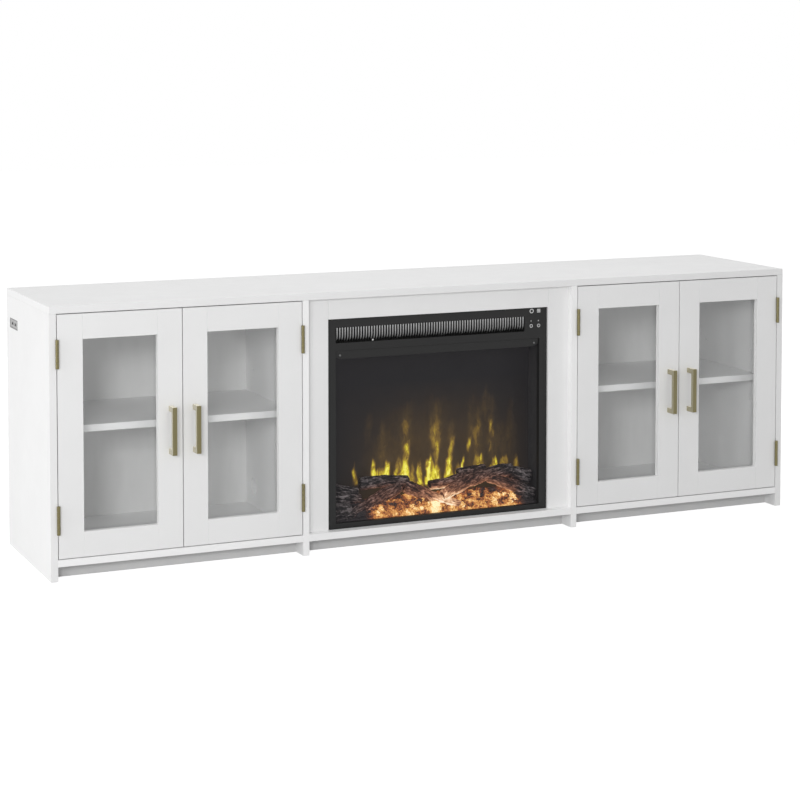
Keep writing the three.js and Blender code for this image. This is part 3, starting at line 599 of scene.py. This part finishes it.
def screen_finish():
    """Dark frosted sheet with an even painted glow that stands for the light it reflects, and a faint warm glow low
    down, painted where the flame light reaches it.
    """
    low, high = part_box("flame_screen")
    f = Finish("flame_screen")
    place = f.split(f.coords())
    rise = f.span(place[2], low.z + SCREEN_GLOW_FULL, low.z + SCREEN_GLOW_NONE, 1.0, 0.0)
    away = f.maths("ABSOLUTE", f.maths("SUBTRACT", place[0], (low.x + high.x) / 2 + SCREEN_GLOW_MIDDLE))
    centre = f.span(away, SCREEN_GLOW_CORE, SCREEN_GLOW_EDGE, 1.0, 0.0)
    flame_glow = f.maths("MULTIPLY", f.maths("MULTIPLY", rise, centre), f.vary(f.noise(14.0), 0.6, 1.1))
    f.set(Base_Color=(0.006, 0.006, 0.0065, 1), Roughness=0.5, Specular_IOR_Level=0.08)
    f.set(Emission_Color=(0.30, 0.165, 0.030, 1), Emission_Strength=f.maths("MULTIPLY", flame_glow, SCREEN_GLOW_STRENGTH))
    return f.surface(f.both(f.body, f.emission((0.98, 0.93, 1.0, 1), SCREEN_PAINTED_GLOW)))


def flame_finish():
    """Light thrown on the screen: brown where it is faint, amber, and lime yellow where it is strong."""
    f = Finish("flame_light")
    streaks = f.noise(105.0, 5.0, rough=0.62, vector=f.stretched((1, 1, 0.45)), distort=0.8)
    level = f.maths("MULTIPLY", f.marked("flame_level"), f.span(streaks, 0.32, 0.68, 0.45, 1.55))
    return f.surface(f.both(f.add("ShaderNodeBsdfTransparent"), f.emission(f.ramp(level, FLAME_LIGHT), 1.0)))


def ember_finish():
    """Moulded coals: cream where the light comes through, gold and red towards their rims, dark in the cracks."""
    f = Finish("ember_coals")
    glow = f.marked("ember_glow")
    fine = f.noise(150.0, 6.0, rough=0.68, distort=1.2)
    broad = f.noise(42.0)
    change = f.maths("ADD", f.vary(fine, -0.30, 0.30), f.vary(broad, -0.34, 0.26))
    level = f.maths("ADD", glow, f.maths("MULTIPLY", change, f.span(glow, 0.0, 0.4, 0.1, 1.0)))
    f.set(Base_Color=f.ramp(level, EMBER_BODY), Roughness=0.8, Specular_IOR_Level=0.2)
    f.set(Emission_Color=f.ramp(level, EMBER_LIGHT), Emission_Strength=f.span(level, 0.02, 0.4, 0.0, 1.0))
    f.bump(fine, 0.6, 1.0 * MM)
    return f.material


def bark_finish():
    """Charred bark: ash-grey ridges over black cracks. Near the bed's glow it turns brown and then cream: painted
    light from the embers, in the base colour as well as the glow.
    """
    f = Finish("charred_bark")
    glow = f.marked("ember_glow")
    place = f.marked("bark_place", "Vector")
    strands = f.noise(125.0, 5.0, rough=0.62, vector=place, distort=0.6)
    flecks = f.noise(340.0, 4.0, rough=0.6, vector=place)
    ash = f.maths("MULTIPLY", f.marked("ridge"), 0.5)
    ash = f.maths("ADD", ash, f.vary(strands, -0.10, 0.42))
    ash = f.maths("ADD", ash, f.vary(flecks, -0.14, 0.20))
    tones = {"Factor": f.span(glow, 0.06, 0.34, 0.0, 1.0), "A": f.ramp(ash, BARK_CHAR), "B": f.ramp(ash, BARK_BROWN_PAINTED_GLOW)}
    f.set(Base_Color=f.add("ShaderNodeMix", tones, data_type="RGBA").outputs["Result"])
    f.set(Roughness=0.78, Specular_IOR_Level=0.25)
    change = f.maths("MULTIPLY", f.maths("SUBTRACT", ash, 0.5), f.span(glow, 0.1, 0.8, 0.35, 0.75))
    level = f.maths("ADD", glow, change)
    f.set(Emission_Color=f.ramp(level, BARK_LIGHT), Emission_Strength=f.span(level, 0.06, 0.6, 0.0, 1.0))
    f.bump(f.maths("ADD", strands, f.maths("MULTIPLY", flecks, 0.4)), 0.9, 2.0 * MM)
    return f.material


def floor_finish():
    """A pale floor that throws soft light back, and shows as the white round the stand with its faint shadow."""
    f = Finish("floor")
    f.set(Base_Color=(*grey(FLOOR_GREY), 1), Roughness=0.9)
    shade = f.add("ShaderNodeBsdfDiffuse", {"Color": (*grey(FLOOR_SHADE), 1)})
    seen = f.both(shade, f.emission((1, 1, 1, 1), FLOOR_GLOW))
    return f.surface(f.blend(f.camera_beams(), f.body, seen))


def stage_and_light():
    plane = bpy.data.meshes.new("floor")
    corners = [(FLOOR_REACH * x, FLOOR_REACH * y, 0) for x, y in ((-1, -1), (1, -1), (1, 1), (-1, 1))]
    plane.from_pydata(corners, [], [(0, 1, 2, 3)])
    plane.materials.append(floor_finish())
    floor = bpy.data.objects.new("floor", plane)
    floor.location.z = -FLOOR_DROP
    bpy.context.scene.collection.objects.link(floor)

    world = bpy.data.worlds.new("studio")
    bpy.context.scene.world = world
    tree = Tree(world)
    room = tree.nodes["Background"]
    tree.put(room, "Color", (1, 1, 1, 1))
    tree.put(room, "Strength", ROOM_LIGHT)
    seen = tree.add("ShaderNodeBackground", {"Color": (1, 1, 1, 1), "Strength": ROOM_SEEN})
    blend = tree.blend(tree.camera_beams(), room, seen)
    tree.put(tree.nodes["World Output"], "Surface", blend.outputs[0])
    for settings in LAMPS:
        lamp(*settings)


def lamp(name, place, target, width, power):
    data = bpy.data.lights.new(name, "AREA")
    data.shape = "SQUARE"
    data.size = width
    data.energy = power
    light = bpy.data.objects.new(name, data)
    light.location = place
    light.rotation_euler = (Vector(target) - Vector(place)).to_track_quat("-Z", "Y").to_euler()
    bpy.context.scene.collection.objects.link(light)


def dress(node, material, edge=0.0, segments=2):
    """Gives a CAD piece its finish and, as its maker would, slightly rounded edges."""
    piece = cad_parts[node]
    mesh = piece.data
    mesh.materials.clear()
    mesh.materials.append(material)
    if "custom_normal" in mesh.attributes:
        mesh.attributes.remove(mesh.attributes["custom_normal"])
    for polygon in mesh.polygons:
        polygon.use_smooth = edge > 0
    weld = piece.modifiers.new("weld", "WELD")
    weld.merge_threshold = WELD_REACH
    flat = piece.modifiers.new("flat", "DECIMATE")
    flat.decimate_type = "DISSOLVE"
    flat.angle_limit = FLAT_ANGLE
    if edge:
        bevel = piece.modifiers.new("edge", "BEVEL")
        bevel.width = edge
        bevel.segments = segments
        bevel.limit_method = "ANGLE"
        bevel.angle_limit = EDGE_ANGLE
        bevel.harden_normals = True
        bevel.use_clamp_overlap = True


def new_piece(name, work, body, materials, stands_for=(), smooth_angle=40.0):
    """Puts a finished bmesh in the scene as a piece that rides on a body."""
    if smooth_angle:
        smooth(work, smooth_angle)
    mesh = bpy.data.meshes.new(name)
    work.to_mesh(mesh)
    work.free()
    for material in materials:
        mesh.materials.append(material)
    piece = bpy.data.objects.new(name, mesh)
    bpy.context.scene.collection.objects.link(piece)
    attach(piece, body)
    if stands_for:
        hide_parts(*stands_for)


def smooth(work, angle):
    """Makes a bmesh smooth but for edges sharper than the given angle, in degrees."""
    bmesh.ops.recalc_face_normals(work, faces=work.faces)
    for face in work.faces:
        face.smooth = True
    for edge in work.edges:
        if len(edge.link_faces) == 2 and edge.calc_face_angle(0) > math.radians(angle):
            edge.smooth = False


def add_block(work, low, high, edge=0.0, material=0):
    """A block between two corners, with rounded edges, added to a bmesh."""
    made = bmesh.ops.create_cube(work, size=1.0)["verts"]
    low, high = Vector(low), Vector(high)
    size = high - low
    centre = (low + high) / 2
    for vert in made:
        vert.co = vert.co * size + centre
    for face in {face for vert in made for face in vert.link_faces}:
        face.material_index = material
    if edge:
        edges = list(dict.fromkeys(e for vert in made for e in vert.link_edges))
        bmesh.ops.bevel(work, geom=edges, offset=edge, segments=2, affect="EDGES", profile=0.5)


def skin(work, rows, closed=True):
    """Makes the faces between neighbouring rows of points, and gives them with their places in the row."""
    made = []
    for lower, upper in zip(rows, rows[1:]):
        count = max(len(lower), len(upper))
        for index in range(count if closed else count - 1):
            after = (index + 1) % count
            corners = [lower[index % len(lower)], lower[after % len(lower)],
                       upper[after % len(upper)], upper[index % len(upper)]]
            made.append((index, work.faces.new(list(dict.fromkeys(corners)))))
    return made


def add_lathe(work, profile, place, axis, sides=32):
    """Turns a profile of (radius, height) points about an axis through a place."""
    turn = Vector((0, 0, 1)).rotation_difference(Vector(axis)).to_matrix()
    rings = []
    for radius, height in profile:
        if radius == 0:
            rings.append([work.verts.new(turn @ Vector((0, 0, height)) + Vector(place))])
            continue
        ring = []
        for index in range(sides):
            angle = 2 * math.pi * index / sides
            point = Vector((radius * math.cos(angle), radius * math.sin(angle), height))
            ring.append(work.verts.new(turn @ point + Vector(place)))
        rings.append(ring)
    skin(work, rings)


def cabinet(outer, inner, kick, backing):
    for node in ("top_panel", "left_side_panel", "right_side_panel", "surround_left_stile",
                 "surround_right_stile", "surround_top_rail"):
        dress(node, outer, BOARD_EDGE)
    for node in ("left_divider", "right_divider", "left_shelf", "right_shelf"):
        dress(node, inner, BOARD_EDGE)
    for bay in BAYS:
        dress(f"{bay}_bottom_panel", inner, BOARD_EDGE)
        # The kick plates' darker tone is painted shade.
        dress(f"{bay}_kick_plate", kick, BOARD_EDGE)
    dress("back_panel", backing, THIN_EDGE, segments=1)


def doors(board, glass, metal):
    for door in DOORS:
        dress(f"{door}_door_frame", board, DOOR_EDGE)
        dress(f"{door}_door_glass", glass)
        dress(f"{door}_pull", metal, PULL_EDGE, segments=3)


def knuckle(radius, height):
    """Profile of one knuckle, with a small round at each rim."""
    cut = KNUCKLE_ROUND
    return [(0, 0), (radius - cut, 0), (radius, cut), (radius, height - cut), (radius - cut, height), (0, height)]


def pin_cap(radius):
    """Profile of the low dome on an end of the hinge pin."""
    return [(0, 0), (radius, 0), (radius, 0.12 * MM), (radius * 0.6, 0.3 * MM), (0, 0.35 * MM)]


def hinge_leaf(hinge, kind, body, metal):
    """Every second knuckle of the barrel, and the leaf behind them; the cabinet's leaf also shows the pin's ends."""
    back_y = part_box(f"{hinge}_{kind}")[1].y
    low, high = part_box(f"{hinge}_cabinet_leaf")
    radius = (high.x - low.x) / 2
    axis_x = (high.x + low.x) / 2
    axis_y = low.y + radius
    height = (high.z - low.z - (KNUCKLES - 1) * KNUCKLE_GAP) / KNUCKLES
    first = 0 if kind == "cabinet_leaf" else 1
    bases = [low.z + index * (height + KNUCKLE_GAP) for index in range(first, KNUCKLES, 2)]
    work = bmesh.new()
    for base in bases:
        add_lathe(work, knuckle(radius, height), (axis_x, axis_y, base), (0, 0, 1))
    runs_right = hinge.startswith(("left_outer", "right_inner"))
    side = 1 if runs_right == (kind == "door_leaf") else -1
    x0, x1 = sorted((axis_x + side * LEAF_GAP, axis_x + side * (LEAF_GAP + LEAF_THICKNESS)))
    leaf_front = axis_y + radius + LEAF_SETBACK
    add_block(work, (x0, leaf_front, low.z), (x1, back_y, high.z), LEAF_EDGE)
    for base in bases:
        add_block(work, (x0, axis_y, base), (x1, leaf_front + LEAF_GAP, base + height))
    if kind == "cabinet_leaf":
        for end, way in ((high.z, 1), (low.z, -1)):
            place = (axis_x, axis_y, end - way * PIN_SUNK)
            add_lathe(work, pin_cap(radius * PIN_SHARE), place, (0, 0, way), sides=20)
    new_piece(f"{hinge}_{kind}_detail", work, body, [metal], (f"{hinge}_{kind}",))


def hinges(metal):
    for door in DOORS:
        for place in ("lower", "upper"):
            for kind, body in (("cabinet_leaf", "root"), ("door_leaf", f"{door}_door")):
                hinge_leaf(f"{door}_{place}", kind, body, metal)


def fire_shell(black, zinc):
    dress("insert_front_frame", black, METAL_EDGE)
    dress("deflector_lip", black, METAL_EDGE)
    dress("insert_housing", moulded("housing_paint", 0.022, roughness=0.6))
    dress("fire_glass", smoked_pane())
    dress("flame_screen", screen_finish())
    dress("control_board", circuit_board())
    dress("rotor_motor", moulded("grey_plastic", 0.18), METAL_EDGE)
    dress("cord_gland", moulded("black_plastic", 0.012), THIN_EDGE)
    dress("flame_rotor", mirror_foil())
    dress("blower_wheel", zinc)
    dress("heater_duct", zinc, THIN_EDGE)


def add_fin(work, x, front_y, back_y, middle_z, half_height):
    """One upright fin: a rounded bright nose (material 1) on a black blade; the black on the blade's sides is
    painted shade between the fins.
    """
    rows = []
    for step in range(FIN_STEPS + 1):
        share = 2 * step / FIN_STEPS - 1
        z = middle_z + half_height * share
        y = front_y + FIN_BOW * max(0.0, -share) ** 2
        points = [(x + across * FIN_WIDTH, y + back * FIN_WIDTH) for across, back in FIN_NOSE]
        points += [(x + FIN_WIDTH / 2, back_y), (x - FIN_WIDTH / 2, back_y)]
        rows.append([work.verts.new((px, py, z)) for px, py in points])
    for index, face in skin(work, rows):
        face.material_index = 1 if index < len(FIN_NOSE) - 1 else 0
    work.faces.new(rows[0][::-1])
    work.faces.new(rows[-1])


def louvre(black):
    low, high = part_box("louvre_grille")
    bar_front = high.y - GRILLE_BAR_DEPTH
    inner_low, inner_high = low.x + GRILLE_BAR, high.x - GRILLE_BAR
    middle_z = (low.z + high.z) / 2
    half_height = (high.z - low.z) / 2 - GRILLE_BAR - FIN_END_GAP
    count = int((inner_high - inner_low - FIN_WIDTH) / FIN_PITCH) + 1
    first = (inner_low + inner_high) / 2 - (count - 1) * FIN_PITCH / 2
    work = bmesh.new()
    for index in range(count):
        add_fin(work, first + index * FIN_PITCH, low.y, bar_front, middle_z, half_height)
    for z0, z1 in ((low.z, low.z + GRILLE_BAR_HEIGHT), (high.z - GRILLE_BAR_HEIGHT, high.z)):
        add_block(work, (low.x, bar_front, z0), (high.x, high.y, z1), GRILLE_EDGE)
    # The fins' black sides and the noses' darkening towards the bottom are painted shade.
    bright = fin_metal(low.z + GRILLE_BAR, high.z - GRILLE_BAR)
    new_piece("louvre_fins", work, "root", [black, bright], ("louvre_grille",), smooth_angle=50)


def fade(value, full, none):
    """1 at full and beyond, 0 at none, smooth between."""
    share = min(1.0, max(0.0, (value - none) / (full - none)))
    return share * share * (3 - 2 * share)


def spot_light(point, floor, spots, flatness=1.0):
    """How strongly a set of glowing places reaches a point."""
    x, z = point.x / MM, (point.z - floor) / MM
    return sum(strength * math.exp(-((x - sx) ** 2 + flatness * (z - sz) ** 2) / reach ** 2)
               for sx, sz, reach, strength in spots)


def warmth_at(point, floor):
    """How strongly the bed glows at a place, from 0 to about 1."""
    x, z = point.x / MM, (point.z - floor) / MM
    across = fade(x, GLOW_LEFT + GLOW_FADE, GLOW_LEFT) * fade(x, GLOW_RIGHT - GLOW_FADE, GLOW_RIGHT)
    height = fade(z, GLOW_LOW, GLOW_HIGH)
    return across * (GLOW_BASE + GLOW_BASE * height + spot_light(point, floor, HOT_SPOTS))


def log_glow(point, floor, downward):
    """How strongly the bed lights a log, more so on its underside."""
    near = spot_light(point, floor, LOG_GLOW, LOG_GLOW_FLATNESS)
    return near * (LOG_GLOW_TOP + LOG_GLOW_UNDER * downward)


def bed_height(x_share, depth_share):
    swell = math.sqrt(max(0.0, 1 - abs(x_share) ** SWELL_POWER))
    return BED_LIP + BED_RISE * max(0.0, depth_share) ** CLIMB_POWER * swell


def ember_mound(low, half, depth, embers):
    """The moulded bed under the loose coals, as deep and as high as the bed's own solid."""
    work = bmesh.new()
    glow_layer = work.verts.layers.float.new("ember_glow")
    middle = low.x + half
    grid = []
    for row in range(BED_ROWS + 1):
        line = []
        depth_share = row / BED_ROWS
        for column in range(BED_COLUMNS + 1):
            x_share = 2 * column / BED_COLUMNS - 1
            point = Vector((middle + x_share * half, low.y + depth_share * depth, 0))
            lumps = sum(noise.noise(point * fineness) * size for fineness, size in MOUND_LUMPS)
            lumps *= min(1.0, LIP_SLOPE * depth_share)
            z = low.z + bed_height(x_share, depth_share) + lumps - MOUND_DROP
            vert = work.verts.new((point.x, point.y, z))
            vert[glow_layer] = MOUND_GLOW * warmth_at(vert.co, low.z) + LUMP_GLOW * lumps
            line.append(vert)
        grid.append(line)
    floor_line, back_line = [[work.verts.new((v.co.x, v.co.y, low.z)) for v in grid[row]] for row in (0, -1)]
    for vert in floor_line:
        vert[glow_layer] = LIP_GLOW * warmth_at(vert.co, low.z)
    skin(work, [floor_line, *grid, back_line], closed=False)
    new_piece("ember_mound", work, "root", [embers], ("ember_bed",), smooth_angle=80)


def ember_chunks(low, half, depth, embers):
    """Loose coals on the bed, each brightest on the side that faces out."""
    dice = random.Random(CHUNK_SEED)
    work = bmesh.new()
    glow_layer = work.verts.layers.float.new("ember_glow")
    middle = low.x + half
    for _ in range(CHUNK_COUNT):
        x_share = dice.uniform(*CHUNK_ACROSS)
        depth_share = dice.uniform(*CHUNK_DEPTHS) ** CHUNK_CROWDING
        size = dice.uniform(*CHUNK_SIZES) * MM
        depth_share = max(depth_share, size / depth)
        x = middle + x_share * half * (1 - size / half)
        y = low.y + depth_share * depth
        z = low.z + bed_height(x_share, depth_share) - size * CHUNK_SUNK
        seed = dice.uniform(0, 100)
        own = dice.uniform(*CHUNK_BRIGHTNESS)
        made = bmesh.ops.create_icosphere(work, subdivisions=3, radius=1.0)["verts"]
        turn = Matrix.Rotation(dice.uniform(0, math.pi), 3, "Z")
        stretch = Vector([dice.uniform(*reach) for reach in CHUNK_STRETCH])
        for vert in made:
            dent = noise.noise(vert.co * DENT_FINENESS + Vector((seed, 0, 0)))
            crack = abs(noise.noise(vert.co * CRACK_FINENESS + Vector((seed, 5, 0))))
            swell = 1 + DENT_SIZE * dent + CRACK_SIZE * min(crack, CRACK_END)
            shape = vert.co * stretch * swell
            facing = (max(0.0, -vert.co.y) + max(0.0, vert.co.z)) / 2
            vert.co = turn @ shape * size + Vector((x, y, z))
            vert.co.y = max(vert.co.y, low.y)
            share = CHUNK_GLOW + own + FACING_GLOW * facing + CRACK_GLOW * min(crack, CRACK_GLOW_END)
            vert[glow_layer] = warmth_at(vert.co, low.z) * share
    new_piece("ember_chunks", work, "root", [embers], smooth_angle=80)


def bark_crest(around, along, seed, bark):
    """1 on a ridge of bark that runs along the log, and lower in the cracks beside it."""
    turns, fineness, depth = bark
    return 1 - depth * abs(noise.noise(Vector((around.x * turns + seed, around.y * turns, along * fineness))))


def cut_end(work, row, forward, way, layers, floor):
    """The rough end of a log, sunk towards its heart. Way is -1 at the log's start and 1 at its end."""
    glow_layer, ridge_layer, place_layer = layers
    centre = sum((vert.co for vert in row), Vector()) / LOG_SIDES
    inner = []
    for vert in row:
        point = centre + (vert.co - centre) * END_SHARE
        dent = noise.noise(vert.co * END_FINENESS) * END_DENT
        inner.append(work.verts.new(point + forward * way * dent))
    hub = work.verts.new(centre - forward * way * HUB_DENT)
    for vert in (*inner, hub):
        vert[ridge_layer] = END_CREST + END_CREST * noise.noise(vert.co * END_GRAIN)
        vert[glow_layer] = END_GLOW * log_glow(vert.co, floor, 0.0)
        vert[place_layer] = vert.co
    for index in range(LOG_SIDES):
        after = (index + 1) % LOG_SIDES
        for corners in ((row[index], inner[index], inner[after], row[after]), (inner[index], hub, inner[after])):
            work.faces.new(corners if way > 0 else corners[::-1])


def add_log(work, start, end, radii, seed, layers, floor):
    """A tapered, slightly bent log with lengthwise bark ridges and rough cut ends."""
    glow_layer, ridge_layer, place_layer = layers
    run = end - start
    length = run.length
    forward = run.normalized()
    side = forward.cross(Vector((0, 0, 1))).normalized()
    up = side.cross(forward)
    rings = max(LOG_RINGS, int(length / RING_PITCH))
    rows = []
    for step in range(rings + 1):
        share = step / rings
        along = share * length / MM
        radius = radii[0] + (radii[1] - radii[0]) * share
        bend = math.sin(math.pi * share) * LOG_BEND * length * 2
        centre = start + run * share + up * bend * noise.noise(Vector((seed, *BEND_UP)))
        centre += side * bend * noise.noise(Vector((seed, *BEND_ACROSS)))
        round_end = min(1.0, END_SLOPE * min(share, 1 - share) + END_ROUND)
        row = []
        for index in range(LOG_SIDES):
            angle = 2 * math.pi * index / LOG_SIDES
            around = Vector((math.cos(angle), math.sin(angle), 0))
            bark = bark_crest(around, along, seed, BARK)
            plates = bark_crest(around, along, seed, PLATES)
            turns, fineness = LUMPS
            lump = noise.noise(Vector((around.x * turns, around.y * turns + seed, along * fineness)))
            swell = SWELL[0] + SWELL[1] * bark + SWELL[2] * plates + SWELL[3] * lump
            outward = side * around.x + up * around.y
            vert = work.verts.new(centre + outward * radius * swell * round_end)
            vert[ridge_layer] = min(1.0, max(0.0, CREST[0] + CREST[1] * bark + CREST[2] * plates))
            vert[glow_layer] = log_glow(vert.co, floor, max(0.0, -outward.z))
            vert[place_layer] = around * radius + Vector((seed, 0, BARK_STRETCH * along * MM))
            row.append(vert)
        rows.append(row)
    skin(work, rows)
    cut_end(work, rows[0], forward, -1, layers, floor)
    cut_end(work, rows[-1], forward, 1, layers, floor)


def log_pile(low, half, depth, bark):
    log_low, log_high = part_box("log_set")
    screen_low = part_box("flame_screen")[0]
    work = bmesh.new()
    for name in ("ember_glow", "ridge"):
        work.verts.layers.float.new(name)
    work.verts.layers.float_vector.new("bark_place")
    layers = (work.verts.layers.float["ember_glow"], work.verts.layers.float["ridge"],
              work.verts.layers.float_vector["bark_place"])
    for index, (start, end, shares) in enumerate(LOG_SHARES):
        points = [Vector((low.x + half + x * half, low.y + y * depth, screen_low.z - PILE_DROP + z * PILE_HEIGHT))
                  for x, y, z in (start, end)]
        radii = [share * LOG_RADIUS for share in shares]
        add_log(work, *points, radii, index * LOG_SEED_STEP + LOG_SEED_FIRST, layers, low.z)
    for vert in work.verts:
        vert.co.x = min(max(vert.co.x, log_low.x), log_high.x)
        vert.co.y = min(max(vert.co.y, log_low.y), screen_low.y - PILE_CLEARANCE)
        vert.co.z = max(vert.co.z, low.z)
    new_piece("log_pile", work, "root", [bark], ("log_set",), smooth_angle=60)


def fire_bed():
    low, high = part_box("ember_bed")
    half, depth = (high.x - low.x) / 2, high.y - low.y
    embers = ember_finish()
    ember_mound(low, half, depth, embers)
    ember_chunks(low, half, depth, embers)
    log_pile(low, half, depth, bark_finish())


def flame_strength(x, z, flame):
    """How strongly one flame lights a place on the screen, in millimetres."""
    root_x, root_z, height, half, lean, strength, shape = flame
    share = (z - root_z) / height
    if share <= 0 or share >= 1:
        return 0.0
    if shape is WISP:
        along = math.sin(math.pi * share) ** WISP_ROUND
        width = half * (WISP_WIDTH[0] + WISP_WIDTH[1] * along)
    else:
        along = (1 - TIP_DIM * share) * fade(share, TIP_FADE, 1.0) * fade(share, ROOT_FADE, 0.0)
        width = half * (1 - share) ** shape[0]
    away = abs(x - root_x - lean * share ** LEAN_POWER) / width
    if away >= 1:
        return 0.0
    slope = max(0.0, (away - shape[1]) / (1 - shape[1]))
    return strength * along * (1 - slope * slope) ** 2


def ripple(x, z, waves):
    """How far the ripples of rising flame move a place, in millimetres."""
    return sum(size * noise.noise(Vector((x / across, z / along, place))) for size, across, along, place in waves)


def screen_light(x, z):
    """How brightly all the flames light a place on the screen, in millimetres, less what the logs hide."""
    licked_x, licked_z = x + ripple(x, z, PUSHES), z + ripple(x, z, LIFTS)
    left = 1.0
    for flame in FLAMES:
        left *= 1 - FLAME_BLEND * flame_strength(licked_x, licked_z, flame)
    hidden = HIDDEN_BELOW - HIDDEN_DIP * math.exp(-((x - DIP_PLACE) / DIP_REACH) ** 2)
    return (1 - left) / FLAME_BLEND * fade(z, hidden + HIDDEN_FADE, hidden)


def flames():
    """One clear sheet before the screen, which carries the light of all the flames."""
    low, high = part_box("flame_screen")
    floor_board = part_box("centre_bottom_panel")[1].z
    middle = (low.x + high.x) / 2
    half = (high.x - low.x) / 2 / MM - FIELD_MARGIN
    columns = int(2 * half / FIELD_CELL)
    lines = int(FIELD_RISE / FIELD_CELL)
    places = {(column, line): (column * FIELD_CELL - half, FIELD_FOOT + line * FIELD_CELL)
              for line in range(lines + 1) for column in range(columns + 1)}
    levels = {key: screen_light(*place) for key, place in places.items()}
    work = bmesh.new()
    layer = work.verts.layers.float.new("flame_level")
    verts = {}

    def corner(key):
        if key not in verts:
            x, z = places[key]
            verts[key] = work.verts.new((middle + x * MM, low.y - SHEET_PROUD, floor_board + z * MM))
            verts[key][layer] = levels[key]
        return verts[key]

    for line in range(lines):
        for column in range(columns):
            keys = [(column, line), (column + 1, line), (column + 1, line + 1), (column, line + 1)]
            if max(levels[key] for key in keys) > FAINTEST:
                work.faces.new([corner(key) for key in keys])
    new_piece("flame_light", work, "root", [flame_finish()], smooth_angle=None)


def control_marks():
    face_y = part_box("insert_front_frame")[0].y
    work = bmesh.new()
    for x_mm, z_mm, radius, kind in MARKS:
        x, z, size = x_mm * MM, z_mm * MM, radius * MM
        place = (x, face_y + MARK_SUNK, z)
        if kind == "ring":
            inner = size * RING_SHARE
            profile = [(inner, 0), (inner, MARK_PROUD), (size, MARK_PROUD), (size, 0)]
            add_lathe(work, profile, place, (0, -1, 0), sides=28)
        elif kind == "square":
            bar = size * BAR_SHARE
            for row in (-1, 0, 1):
                bar_z = z + row * size * BAR_PITCH
                add_block(work, (x - size, face_y - MARK_PROUD, bar_z - bar),
                          (x + size, face_y + MARK_SUNK, bar_z + bar))
        else:
            dome = [(size, 0), (size * 0.9, 0.3 * MM), (size * 0.5, 0.55 * MM), (0, 0.65 * MM)]
            add_lathe(work, dome, place, (0, -1, 0), sides=20)
    new_piece("control_marks", work, "root", [mark_print()])


def screw_head(radius):
    """A low pan head with a sunk drive recess in its middle."""
    return [(radius, 0), (radius, 0.25 * radius), (0.82 * radius, 0.52 * radius), (0.5 * radius, 0.6 * radius),
            (0.38 * radius, 0.58 * radius), (0.30 * radius, 0.2 * radius), (0, 0.16 * radius)]


def lip_screws():
    """Two screws that hold the deflector lip, one near each end."""
    low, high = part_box("deflector_lip")
    y = low.y + SCREW_DROP * LIP_LEAN + SCREW_SUNK
    work = bmesh.new()
    for x in (low.x + SCREW_INSET, high.x - SCREW_INSET):
        place = (x, y, high.z - SCREW_DROP)
        add_lathe(work, screw_head(SCREW_RADIUS), place, (0, -1, LIP_LEAN), sides=24)
    new_piece("lip_screws", work, "root", [dark_steel()])


def slab(work, x0, x1, outline, edge=0.0, material=0):
    """A block between two depths, within an outline (y0, z0, y1, z1)."""
    y0, z0, y1, z1 = outline
    add_block(work, (x0, y0, z0), (x1, y1, z1), edge, material)


def inset(outline, by):
    """An outline drawn in by the same distance on all sides."""
    return (outline[0] + by, outline[1] + by, outline[2] - by, outline[3] - by)


def rim(work, x0, x1, outer, inner):
    """Four dark slabs round a rectangular hole."""
    oy0, oz0, oy1, oz1 = outer
    iy0, iz0, iy1, iz1 = inner
    for outline in ((oy0, oz0, oy1, iz0), (oy0, iz1, oy1, oz1), (oy0, iz0, iy0, iz1), (iy1, iz0, oy1, iz1)):
        slab(work, x0, x1, outline, material=1)


def charging_unit():
    """The flush plate with its ports. Material 0 is the face, and 1 the darker rim, collars, tongues and body."""
    low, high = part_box("charging_plate")
    face_x = low.x + FACE_SUNK
    back_x = low.x + PLATE_FLANGE
    port_back = face_x + PORT_DEPTH
    middle_y, middle_z = (low.y + high.y) / 2, (low.z + high.z) / 2
    port_z0, port_z1 = middle_z - PORT_HEIGHT / 2, middle_z + PORT_HEIGHT / 2
    whole = (low.y, low.z, high.y, high.z)
    face = inset(whole, RIM_WIDTH)
    work = bmesh.new()
    rim(work, low.x, back_x, whole, face)
    edge_y = face[0]
    for way in (-1, 1):
        y0 = middle_y + way * PORT_SPACING / 2 - PORT_LENGTH / 2
        y1 = y0 + PORT_LENGTH
        for outline in ((edge_y, face[1], y0, face[3]), (y0, face[1], y1, port_z0), (y0, port_z1, y1, face[3])):
            slab(work, face_x, back_x, outline)
        edge_y = y1
        port = (y0, port_z0, y1, port_z1)
        collar = inset(port, -COLLAR)
        rim(work, face_x - COLLAR_PROUD, port_back, collar, port)
        slab(work, port_back, port_back + COLLAR, collar, material=1)
        tongue = (y0 + BLADE_END_GAP, middle_z - BLADE_HALF, y1 - BLADE_END_GAP, middle_z + BLADE_HALF)
        slab(work, face_x + BLADE_SETBACK, port_back, tongue, BLADE_EDGE, material=1)
    slab(work, face_x, back_x, (edge_y, *face[1:]))
    body_x = low.x + PORT_DEPTH + 2 * COLLAR + FACE_SUNK
    slab(work, body_x, high.x, inset(whole, PLATE_INSET), PLATE_EDGE, material=1)
    shades = [moulded("plate_face", 0.36), moulded("plate_rim", 0.22)]
    new_piece("charging_unit", work, "root", shades, ("charging_plate",))


def main():
    camera()
    stage_and_light()
    white = white_board("white_board", OUTER_WHITE)
    inner = white_board("inner_board_painted_light", INNER_WHITE_PAINTED_LIGHT)
    kick = white_board("kick_board_painted_shade", KICK_WHITE_PAINTED_SHADE)
    cabinet(white, inner, kick, back_board())
    doors(white, clear_pane(), brass("brass", PULL_SIDE_PAINTED_LIGHT, sheen=1.0))
    hinges(brass("hinge_brass", HINGE_SIDE, sheen=0.2))
    charging_unit()
    black = black_metal()
    fire_shell(black, zinc_sheet())
    louvre(black)
    fire_bed()
    flames()
    control_marks()
    lip_screws()


main()

bpy.context.scene.view_settings.view_transform = "Standard"
